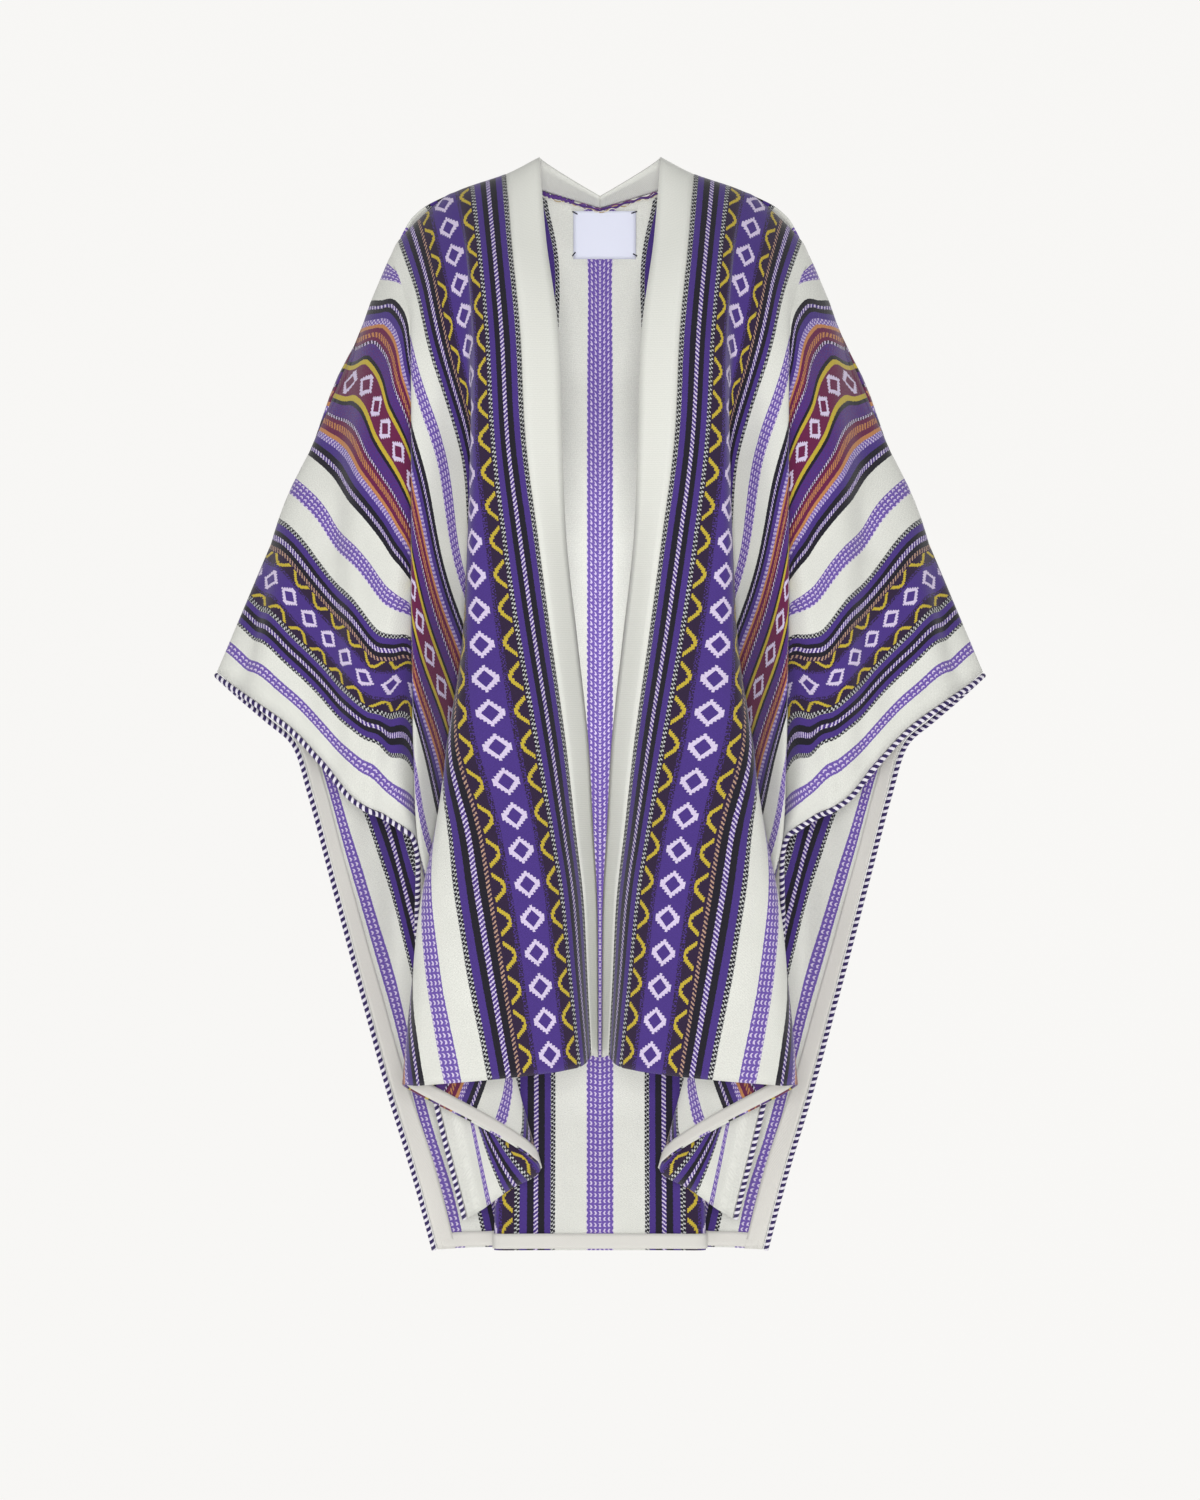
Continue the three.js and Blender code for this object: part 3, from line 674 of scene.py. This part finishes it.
    # speckle: dashes that lean, offset in each column
    column = addNode(tree, "Math", {0: u, 1: 1 / wool["speckleColumn"]}, operation="MULTIPLY")
    column = addNode(tree, "Math", {0: column}, operation="FLOOR")
    lean = addNode(tree, "Math", {0: u, 1: wool["speckleLean"], 2: w}, operation="MULTIPLY_ADD")
    lean = addNode(tree, "Math", {0: lean, 1: 1 / wool["speckleLength"]}, operation="MULTIPLY")
    dash = addNode(tree, "Math", {0: column, 1: 0.5, 2: lean}, operation="MULTIPLY_ADD")
    dash = addNode(tree, "Math", {0: dash}, operation="FRACT")
    speckle = addNode(tree, "Math", {0: dash, 1: wool["speckleShare"]}, operation="LESS_THAN")

    # twist: two yarns plied, so the dashes lean steeply
    ply = addNode(tree, "Math", {0: u, 1: wool["plyLean"], 2: w}, operation="MULTIPLY_ADD")
    ply = addNode(tree, "Math", {0: ply, 1: 1 / wool["plyPitch"]}, operation="MULTIPLY")
    ply = addNode(tree, "Math", {0: ply}, operation="FRACT")
    twist = addNode(tree, "Math", {0: ply, 1: wool["plyShare"]}, operation="LESS_THAN")

    # wavy: narrow columns of short pale dashes that sway, on lavender
    sway = addNode(tree, "Math", {0: w, 1: 2 * math.pi / wool["wavePitch"]}, operation="MULTIPLY")
    swing = addNode(tree, "Math", {0: sway}, operation="SINE")
    swung = addNode(tree, "Math", {0: swing, 1: wool["waveSwing"], 2: u}, operation="MULTIPLY_ADD")
    lane = addNode(tree, "Math", {0: swung, 1: wool["waveLane"]}, operation="PINGPONG")
    narrow = addNode(tree, "Math", {0: lane, 1: wool["waveWidth"]}, operation="LESS_THAN")
    gap = addNode(tree, "Math", {0: swing, 1: wool["waveGap"]}, operation="GREATER_THAN")
    wavy = addNode(tree, "Math", {0: narrow, 1: gap}, operation="MULTIPLY")

    # mottle: the two yarns mixed at random
    fleck = addNode(tree, "TexNoise", {"Vector": uvMap, "Scale": 1000 / wool["fleck"], "Detail": 0})
    mottle = addNode(tree, "Math", {0: fleck, 1: wool["fleckShare"]}, operation="GREATER_THAN")

    masks = {"speckle": speckle, "twist": twist, "wavy": wavy, "mottle": mottle, "zigzag": arc}
    secondShows = None
    for name, mask in masks.items():
        here = addNode(tree, "Math", {0: weave, 1: weaves[name], 2: 0.09}, operation="COMPARE")
        shows = addNode(tree, "Math", {0: here, 1: mask}, operation="MULTIPLY")
        secondShows = shows if secondShows is None else addNode(
            tree, "Math", {0: secondShows, 1: shows}, operation="MAXIMUM")
    colour = addNode(tree, "MixRGB", {0: secondShows, 1: first, 2: second})
    colour = addNode(tree, "MixRGB", {0: diamond, 1: colour, 2: linear(yarns["lilac"]) + [1]})

    # fine hairs and uneven dye
    hair = addNode(tree, "TexNoise", {
        "Vector": uvMap, "Scale": 1000 / wool["hairSize"], "Detail": 3, "Roughness": 0.7})
    hairTone = addNode(tree, "MapRange", {0: hair, 1: 0.25, 2: 0.75, 3: 0.8, 4: 1.12})
    cloud = addNode(tree, "TexNoise", {"Vector": uvMap, "Scale": 1000 / wool["cloudSize"], "Detail": 2})
    cloudTone = addNode(tree, "MapRange", {0: cloud, 1: 0.3, 2: 0.7, 3: 0.95, 4: 1.02})
    tone = addNode(tree, "Math", {0: hairTone, 1: cloudTone}, operation="MULTIPLY")

    # twill ribs, crosswise threads, and pattern yarns that stand a little proud
    diagonal = addNode(tree, "Math", {0: u, 1: 0.8, 2: w}, operation="MULTIPLY_ADD")
    twill = addNode(tree, "Math", {0: diagonal, 1: wool["twillPitch"] / 2}, operation="PINGPONG")
    thread = addNode(tree, "Math", {0: w, 1: wool["threadPitch"] / 2}, operation="PINGPONG")
    weft = addNode(tree, "Math", {0: thread, 1: 0.5, 2: twill}, operation="MULTIPLY_ADD")
    shade = addNode(tree, "MapRange", {0: weft, 1: 0, 2: 1.5, 3: 0.93, 4: 1.0})
    tone = addNode(tree, "Math", {0: tone, 1: shade}, operation="MULTIPLY")
    colour = addNode(tree, "MixRGB", {0: 1, 1: colour, 2: tone}, blend_type="MULTIPLY")
    proud = addNode(tree, "Math", {0: diamond, 1: secondShows}, operation="MAXIMUM")
    height = addNode(tree, "Math", {0: proud, 1: 0.7, 2: weft}, operation="MULTIPLY_ADD")
    height = addNode(tree, "Math", {0: hair, 1: 1.2, 2: height}, operation="MULTIPLY_ADD")
    bump = addNode(tree, "Bump", {"Height": height, "Strength": 0.45, "Distance": 0.3 * mm})
    finishCloth(tree, colour, bump, roughness=0.92, sheen=0.25)
    return material


def finishCloth(tree, colour, bump, roughness, sheen):
    shader = addNode(tree, "BsdfPrincipled", {
        "Base Color": colour, "Normal": bump, "Roughness": roughness, "Sheen Weight": sheen,
        "Sheen Roughness": 0.55, "Specular IOR Level": 0.2})
    addNode(tree, "OutputMaterial", {0: shader})


def plainWool(name, code, ribs=2.3, lean=0.8):
    # the same wool undyed, woven as a fine twill: matt, diagonal ribs just showing
    material, tree, uvMap, place = clothMaterial(name)
    hair = addNode(tree, "TexNoise", {
        "Vector": uvMap, "Scale": 1000 / wool["hairSize"], "Detail": 3, "Roughness": 0.7})
    diagonal = addNode(tree, "Math", {0: place, 1: lean, 2: place.outputs["Y"]}, operation="MULTIPLY_ADD")
    twill = addNode(tree, "Math", {0: diagonal, 1: ribs * mm / 2}, operation="PINGPONG")
    ribShade = addNode(tree, "MapRange", {0: twill, 1: 0, 2: ribs * mm / 2, 3: 0.93, 4: 1.0})
    hairTone = addNode(tree, "MapRange", {0: hair, 1: 0.25, 2: 0.75, 3: 0.93, 4: 1.04})
    tone = addNode(tree, "Math", {0: ribShade, 1: hairTone}, operation="MULTIPLY")
    colour = addNode(tree, "MixRGB", {0: 1, 1: linear(code) + [1], 2: tone}, blend_type="MULTIPLY")
    height = addNode(tree, "Math", {0: twill, 1: 1000, 2: hair}, operation="MULTIPLY_ADD")
    bump = addNode(tree, "Bump", {"Height": height, "Strength": 0.4, "Distance": 0.25 * mm})
    finishCloth(tree, colour, bump, roughness=0.92, sheen=0.2)
    return material


pipingLook = {
    "radius": 2.8,
    "gap": 0.9,
    "pitch": 7.2,
    "whiteShare": 0.45,
    "dark": "#33265C",
    "white": "#ECE8F2",
}


def twistedCordCover():
    # wool cord of two colours twisted together: slanting bands, fuzzy and matt
    material, tree, uvMap, place = clothMaterial("twistedWoolPiping")
    slant = pipingLook["pitch"] / (2 * math.pi * pipingLook["radius"])
    turn = addNode(tree, "Math", {0: place, 1: slant, 2: place.outputs["Y"]}, operation="MULTIPLY_ADD")
    turn = addNode(tree, "Math", {0: turn, 1: 1000 / pipingLook["pitch"]}, operation="MULTIPLY")
    turn = addNode(tree, "Math", {0: turn}, operation="FRACT")
    white = addNode(tree, "Math", {0: turn, 1: pipingLook["whiteShare"]}, operation="LESS_THAN")
    hair = addNode(tree, "TexNoise", {"Vector": uvMap, "Scale": 1000 / 1.0, "Detail": 3, "Roughness": 0.7})
    tone = addNode(tree, "MapRange", {0: hair, 1: 0.25, 2: 0.75, 3: 0.8, 4: 1.1})
    colour = addNode(tree, "MixRGB", {
        0: white, 1: linear(pipingLook["dark"]) + [1], 2: linear(pipingLook["white"]) + [1]})
    colour = addNode(tree, "MixRGB", {0: 1, 1: colour, 2: tone}, blend_type="MULTIPLY")
    ridge = addNode(tree, "Math", {0: turn, 1: pipingLook["whiteShare"] / 2}, operation="PINGPONG")
    height = addNode(tree, "Math", {0: hair, 1: 0.4, 2: ridge}, operation="MULTIPLY_ADD")
    bump = addNode(tree, "Bump", {"Height": height, "Strength": 0.6, "Distance": 0.6 * mm})
    finishCloth(tree, colour, bump, roughness=0.9, sheen=0.2)
    return material


def labelSatin():
    # polyester satin ribbon: smooth, close weave, a soft highlight
    material, tree, uvMap, place = clothMaterial("labelSatinRibbon")
    half = label["threadPitch"] / 2 * mm
    thread = addNode(tree, "Math", {0: place.outputs["Y"], 1: half}, operation="PINGPONG")
    tone = addNode(tree, "MapRange", {0: thread, 1: 0, 2: half, 3: 0.97, 4: 1.0})
    colour = addNode(tree, "MixRGB", {0: 1, 1: linear(label["colour"]) + [1], 2: tone}, blend_type="MULTIPLY")
    bump = addNode(tree, "Bump", {"Height": thread, "Strength": 0.3, "Distance": 0.05 * mm})
    shader = addNode(tree, "BsdfPrincipled", {
        "Base Color": colour, "Normal": bump, "Roughness": 0.5, "Sheen Weight": 0.1,
        "Specular IOR Level": 0.4})
    addNode(tree, "OutputMaterial", {0: shader})
    return material


def sewingThread(name, code):
    # spun polyester thread: dull, fine ply
    material = newMaterial(name)
    tree = material.node_tree
    uvMap = addNode(tree, "UVMap", uv_map="cloth")
    ply = addNode(tree, "TexNoise", {"Vector": uvMap, "Scale": 1000 / 0.8, "Detail": 2})
    tone = addNode(tree, "MapRange", {0: ply, 1: 0.3, 2: 0.7, 3: 0.75, 4: 1.15})
    colour = addNode(tree, "MixRGB", {0: 1, 1: linear(code) + [1], 2: tone}, blend_type="MULTIPLY")
    bump = addNode(tree, "Bump", {"Height": ply, "Strength": 0.4, "Distance": 0.1 * mm})
    finishCloth(tree, colour, bump, roughness=0.75, sheen=0.1)
    return material


rowSteps = 10


def shapedSheet(keyRows, columnSteps, topLength, ripples, facing):
    # the sheet's points, its UVs and normals, with the ripples in them
    grid = sampleSheet(keyRows, rowSteps, columnSteps)
    normals = gridNormals(grid, facing)
    lift, shift = ripple(grid[:, :, :3], grid, ripples)
    lift[0] = 0
    points = grid[:, :, :3] + normals * lift[..., None]
    uvs = np.stack([grid[:, :, 3] + shift, clothLengths(grid, topLength)], axis=2)
    shaped = np.concatenate([points, grid[:, :, 3:]], axis=2)
    return points, uvs, gridNormals(shaped, facing)


def frontLengths(u):
    share = np.clip(u, 0, None) / cutSizes["frontWidth"]
    return mix(cutSizes["frontLength"], cutSizes["frontSideLength"], share)


def backLengths(u):
    return mix(cutSizes["backLength"], cutSizes["backSideLength"], u / cutSizes["backHalfWidth"])


def declare(piece, slot, *nodes):
    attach(piece, "root")
    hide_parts(*nodes)


bodyCloth = stripedWool()
bandCloth = plainWool("undyedWoolBand", "#E6E7E0", ribs=1.9, lean=0.0)
facingCloth = plainWool("undyedWoolFacing", "#DEDCD6")
cordCover = twistedCordCover()
print("materials made")

frontSteps = [5, 7, 6, 6, 10, 12, 10, 8, 12, 12]
bandColumns = frontSteps[0]
frontPoints, frontUvs, frontNormals = shapedSheet(frontKeys(), frontSteps, frontLengths, frontRipples, 1)
frontPoints[0, :, 1] = -cutSizes["seamGap"] / 2


def addSheet(name, points, uvs, flip, material, slot, thickness=None):
    piece = sheetMesh(name + "_cloth", points, uvs, flip)
    addWall(piece, thickness or cutSizes["wall"])
    piece.data.materials.append(material)
    declare(piece, slot, name)


facing = {"wall": 1.0, "gap": 0.8, "aboveHem": 1.8}


def stripAbove(points, normals, width, rows):
    # a strip of the given width along the hem, taken from the sheet's own last rows
    lengths = np.linalg.norm(points[-1] - points[-2], axis=1)
    depth = facing["gap"] + facing["wall"] / 2 + cutSizes["wall"] / 2
    lines = []
    for n in range(rows + 1):
        share = (facing["aboveHem"] + (n / rows) * (width - facing["aboveHem"])) / lengths
        line = points[-1] + (points[-2] - points[-1]) * share[:, None]
        lines.append(line - normals[-1] * depth)
    return np.array(lines[::-1])


def stripUvs(points):
    downs = np.linalg.norm(np.diff(points, axis=0), axis=2).mean(axis=1)
    acrosses = np.linalg.norm(np.diff(points, axis=1), axis=2).mean(axis=0)
    down = np.concatenate([[0], np.cumsum(downs)])
    across = np.concatenate([[0], np.cumsum(acrosses)])
    return np.stack(np.meshgrid(across, -down), axis=2), (across[-1] * mm, down[-1] * mm)


def addStrip(name, points, flip, material, thickness=None):
    # a narrow piece, whose flat size is its own mean width and length
    uvs, flat = stripUvs(points)
    addSheet(name, points, uvs, flip, material, "cream_wool", thickness)


def pipingCentres(points, normals):
    edge = points[:, -1]
    run = np.gradient(edge, axis=0)
    run /= np.linalg.norm(run, axis=1, keepdims=True)
    out = edge - points[:, -2]
    n = normals[:, -1]
    out -= run * (out * run).sum(axis=1, keepdims=True)
    out -= n * (out * n).sum(axis=1, keepdims=True)
    out[0, 1] = 0
    out /= np.linalg.norm(out, axis=1, keepdims=True)
    return edge + out * (pipingLook["radius"] + pipingLook["gap"])


def addPiping(name, centres, normals):
    cord = cordMesh(name + "_cord", centres, normals, pipingLook["radius"])
    cord.data.materials.append(cordCover)
    declare(cord, "twisted_piping", name)


for side, flip in (("left", True), ("right", False)):
    cloth = slice(bandColumns, None)
    addSheet("front_" + side, onSide(side, frontPoints[:, cloth]), frontUvs[:, cloth], flip, bodyCloth,
             "striped_wool")
    strip = stripAbove(frontPoints[:, cloth], frontNormals[:, cloth], cutSizes["hemFacing"], 4)
    addStrip("hem_facing_front_" + side, onSide(side, strip), flip, facingCloth, facing["wall"])
    centres = pipingCentres(frontPoints, frontNormals)
    addPiping("piping_front_" + side, onSide(side, centres), onSide(side, frontNormals[:, -1]))
print("fronts made")

# Neckband: from the centre back round the neck, then down the front edge
neckSteps = 24
bandEdge = {"onNeck": 1.7, "atShoulder": 0.8, "onFront": 0.3}     # gap to the body cloth


def neckbandPoints():
    rows = []
    for n in range(neckSteps, 0, -1):
        outer = neckPoint(neckOuter, n / neckSteps)[:3]
        inner = neckPoint(neckInner, n / neckSteps)[:3]
        rows.append([mix(inner, outer, k / bandColumns) for k in range(bandColumns + 1)])
    rows[0] = [point * np.array((0, 1, 1)) + np.array((cutSizes["seamGap"] / 2, 0, 0)) for point in rows[0]]
    points = np.concatenate([np.array(rows), frontPoints[:, :bandColumns + 1]])
    gaps = np.full(len(points), bandEdge["onFront"])
    gaps[:neckSteps] = bandEdge["onNeck"] + cutSizes["wall"] / 2
    gaps[neckSteps] = bandEdge["atShoulder"]
    seam = points[:, -1]
    inward = points[:, -2] - seam
    points[:, -1] = seam + inward * (gaps / np.linalg.norm(inward, axis=1))[:, None]
    return points


bandPoints = neckbandPoints()
for side, flip in (("left", True), ("right", False)):
    addStrip("neckband_" + side, onSide(side, bandPoints), flip, bandCloth)
print("neckband made")

# Back: one sheet, made as its left half and its mirror image
backSteps = [8, 6, 6, 10, 10, 10, 10, 6, 12, 14]
halfPoints, halfUvs, halfNormals = shapedSheet(backKeys(), backSteps, backLengths, backRipples, -1)
for k in range(halfPoints.shape[1]):
    u = halfUvs[0, k, 0]
    if u < cutSizes["shoulderOnBack"]:
        halfPoints[0, k] = neckPoint(neckOuter, 1 - max(u, 0) / cutSizes["shoulderOnBack"])[:3]
halfPoints[0, :, 1] = np.maximum(halfPoints[0, :, 1], cutSizes["seamGap"] / 2)
halfUvs[:, :, 0] += stripeBands[0]["startU"]


def bothHalves(half, mirror):
    return np.concatenate([mirror(half[:, :0:-1]), half], axis=1)


backPoints = bothHalves(halfPoints, flipped)
backNormals = bothHalves(halfNormals, flipped)
backUvs = bothHalves(halfUvs, lambda uvs: uvs)
addSheet("back", backPoints, backUvs, False, bodyCloth, "striped_wool")

strip = stripAbove(backPoints[:, 2:-2], backNormals[:, 2:-2], cutSizes["hemFacing"], 4)
addStrip("hem_facing_back", strip, False, facingCloth, facing["wall"])


def sideStrip(points, normals, width, columns):
    depth = facing["gap"] + facing["wall"] / 2 + cutSizes["wall"] / 2
    runs = np.cumsum(np.linalg.norm(np.diff(points[:, ::-1], axis=1), axis=2), axis=1)
    runs = np.concatenate([np.zeros((len(points), 1)), runs], axis=1)
    under = (points - normals * depth)[:, ::-1]
    lines = []
    for i in range(4, len(points)):
        spots = np.linspace(0, width, columns + 1)
        lines.append([[np.interp(spot, runs[i], under[i, :, a]) for a in range(3)] for spot in spots[::-1]])
    return np.array(lines)


for side, flip in (("left", False), ("right", True)):
    strip = sideStrip(halfPoints, halfNormals, cutSizes["sideFacing"], 6)
    addStrip("side_facing_back_" + side, onSide(side, strip), flip, facingCloth, facing["wall"])
    centres = pipingCentres(halfPoints, halfNormals)
    addPiping("piping_back_" + side, onSide(side, centres), onSide(side, halfNormals[:, -1]))
print("back made")

label = {
    "width": 67,
    "height": 52,
    "wall": 0.8,
    "bow": 0.6,
    "tackRadius": 0.7,
    "threadPitch": 0.7,
    "colour": "#E3E6F6",
}
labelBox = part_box("neck_label")


def labelGrid():
    # thin satin rectangle, a little bowed
    low, high = [np.array(corner) * 1000 for corner in labelBox]
    columns = np.linspace(0, 1, 17)
    rows = np.linspace(0, 1, 13)
    points = np.array([[(mix(low[0], high[0], c),
                         mix(low[1], high[1], r)
                         - label["bow"] * math.sin(math.pi * c) * math.sin(math.pi * r),
                         mix(high[2], low[2], r)) for c in columns] for r in rows])
    return points, points[:, :, (0, 2)]


labelPoints, labelUvs = labelGrid()
labelPiece = sheetMesh("neck_label_satin", labelPoints, labelUvs)
addWall(labelPiece, label["wall"])
labelPiece.data.materials.append(labelSatin())
declare(labelPiece, "label_satin", "neck_label")


def joined(name, parts, material):
    # several small meshes as one piece
    bm = bmesh.new()
    for part in parts:
        bm.from_mesh(part.data)
        bpy.data.objects.remove(part)
    piece = newObject(name, bm)
    piece.data.materials.append(material)
    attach(piece, "root")


# Tacks at the label's corners: x and z signs, and how far each leans
labelTacks = readTable("sideX sideZ runX runZ", [
    (-1, 1, 5.5, -3.0),
    (1, 1, -6.0, -2.0),
    (-1, -1, 3.2, 4.2),
    (1, -1, -4.2, 2.6),
])


def addTacks():
    low, high = [np.array(corner) * 1000 for corner in labelBox]
    centre = (low + high) / 2
    half = (high - low) / 2
    parts = []
    for tack in labelTacks:
        corner = np.array((centre[0] + tack["sideX"] * (half[0] + 1), low[1] - 0.7,
                           centre[2] + tack["sideZ"] * (half[2] - 0.5)))
        run = np.array((tack["runX"], 0, tack["runZ"]))
        shares = np.linspace(0, 1, 9)
        centres = np.array([corner + run * t - np.array((0, 0.5 * math.sin(math.pi * t), 0)) for t in shares])
        normals = np.tile((0.0, -1.0, 0.0), (len(shares), 1))
        parts.append(cordMesh("tack", centres, normals, label["tackRadius"], 8))
    joined("label_tacks", parts, sewingThread("darkSewingThread", "#1F1F33"))


# Overlocked neck seam: threads that loop along the back neck, on the inside.
# They run from start to end, where the shoulders are -1 and 1.
neckThreads = readTable("code radius swing pitch phase above start end", [
    ("#4F2F78", 1.1, 0.7, 17.0, 0.0, -0.5, -0.95, 0.95),
    ("#5B3A86", 1.6, 1.5, 4.2, 0.4, 0.2, -0.5, -0.2),
    ("#7A4A7E", 0.7, 1.6, 13.0, 2.1, 0.8, -0.95, 0.95),
    ("#B9A27A", 0.6, 1.8, 21.0, 4.0, -1.6, -0.95, 0.95),
    ("#E9E6DC", 0.6, 2.0, 9.6, 1.0, -2.2, -0.95, 0.95),
])


neckSeam = {"halfLength": 120, "inside": 3.6, "below": 2.6}


def addNeckThreads():
    for n, thread in enumerate(neckThreads):
        turns = np.linspace(thread["start"], thread["end"], 241)
        centres = []
        for turn in turns:
            x, y, z = neckPoint(neckOuter, 1 - abs(turn))[:3]
            x *= math.copysign(1, turn)
            length = turn * neckSeam["halfLength"]
            wave = math.sin(2 * math.pi * length / thread["pitch"] + thread["phase"])
            slack = math.sin(length * 0.31 + thread["phase"]) * math.sin(length * 0.113)
            inward = np.array((-x, -y, 0)) / max(math.hypot(x, y), 1e-6)
            lift = neckSeam["inside"] + thread["radius"] + 0.5 * wave
            point = np.array((x, y, z)) + inward * lift
            point[2] += thread["above"] - neckSeam["below"] + 0.6 * thread["swing"] * wave + 0.8 * slack
            centres.append(point)
        centres = np.array(centres)
        normals = np.tile((0.0, 0.0, 1.0), (len(centres), 1))
        cord = cordMesh("neck_thread_%d" % (n + 1), centres, normals, thread["radius"], 7)
        cord.data.materials.append(sewingThread("overlockThread%d" % (n + 1), thread["code"]))
        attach(cord, "root")


addTacks()
addNeckThreads()
print("label and seam threads made")


# Stage, light and camera
view = {"distance": 4.2, "height": -0.6216, "lens": 64.0, "sensor": 24, "floorZ": -1.46}


def addStage():
    # floor that rises into the wall in one wide curve, glowing evenly so that no shadow falls on it
    bm = bmesh.new()
    profile = [(-6, 0), (1.2, 0)]
    bends = np.linspace(0.08, math.pi / 2, 20)
    profile += [(1.2 + 1.6 * math.sin(bend), 1.6 - 1.6 * math.cos(bend)) for bend in bends]
    profile.append((2.8, 6))
    start = [bm.verts.new((-9, y, z + view["floorZ"])) for y, z in profile]
    edges = [bm.edges.new((start[n], start[n + 1])) for n in range(len(start) - 1)]
    made = bmesh.ops.extrude_edge_only(bm, edges=edges)["geom"]
    moved = [g for g in made if isinstance(g, bmesh.types.BMVert)]
    bmesh.ops.translate(bm, verts=moved, vec=(18, 0, 0))
    bmesh.ops.recalc_face_normals(bm, faces=bm.faces)
    cove = newObject("studioCove", bm)
    material = newMaterial("matPaintedCove")
    shader = addNode(material.node_tree, "BsdfPrincipled", {
        "Base Color": linear("#2A2A2A") + [1], "Roughness": 1.0, "Specular IOR Level": 0.0,
        "Emission Color": linear("#F9F8F6") + [1], "Emission Strength": 0.97})
    addNode(material.node_tree, "OutputMaterial", {0: shader})
    cove.data.materials.append(material)


def addAreaLight(name, place, target, size, power):
    data = bpy.data.lights.new(name, "AREA")
    data.shape = "RECTANGLE"
    data.size, data.size_y = size
    data.energy = power
    light = bpy.data.objects.new(name, data)
    bpy.context.scene.collection.objects.link(light)
    light.location = place
    light.visible_camera = False
    light.rotation_euler = (Vector(target) - Vector(place)).to_track_quat("-Z", "Y").to_euler()


addStage()
middle = (0, 0, view["height"])
addAreaLight("overhead", (0, -1.4, 1.6), middle, (2.0, 2.0), 7)
addAreaLight("front", (0, -4.6, -0.5), middle, (0.9, 0.9), 112)
addAreaLight("side", (-3.0, -2.2, 0.4), middle, (2.0, 2.0), 7)
addAreaLight("behind", (0.6, 2.3, 0.6), middle, (1.8, 1.8), 34)
addAreaLight("insideFill", (0, -0.02, -0.62), (0, 1, -0.62), (0.12, 0.6), 0.45)
addAreaLight("neckFill", (0, -0.05, -0.2), (0, 0.08, -0.04), (0.1, 0.05), 0.07)
# The room beyond the cove: seen as pale as the floor, but adding only a little light
world = bpy.data.worlds.new("paleRoom")
world.use_nodes = True
world.node_tree.nodes.clear()
seen = addNode(world.node_tree, "LightPath")
strength = addNode(world.node_tree, "MapRange", {0: seen.outputs["Is Camera Ray"], 3: 0.2, 4: 0.95})
room = addNode(world.node_tree, "Background", {"Color": (1, 0.995, 0.985, 1), "Strength": strength})
addNode(world.node_tree, "OutputWorld", {0: room})
bpy.context.scene.world = world
bpy.context.scene.view_settings.view_transform = "Standard"

camera = bpy.data.objects.new("camera", bpy.data.cameras.new("camera"))
camera.data.sensor_fit = "VERTICAL"
camera.data.sensor_height = view["sensor"]
camera.data.lens = view["lens"]
camera.location = (0, -view["distance"], view["height"])
camera.rotation_euler = (math.pi / 2, 0, 0)
bpy.context.scene.collection.objects.link(camera)
bpy.context.scene.camera = camera
print("stage, light and camera made")
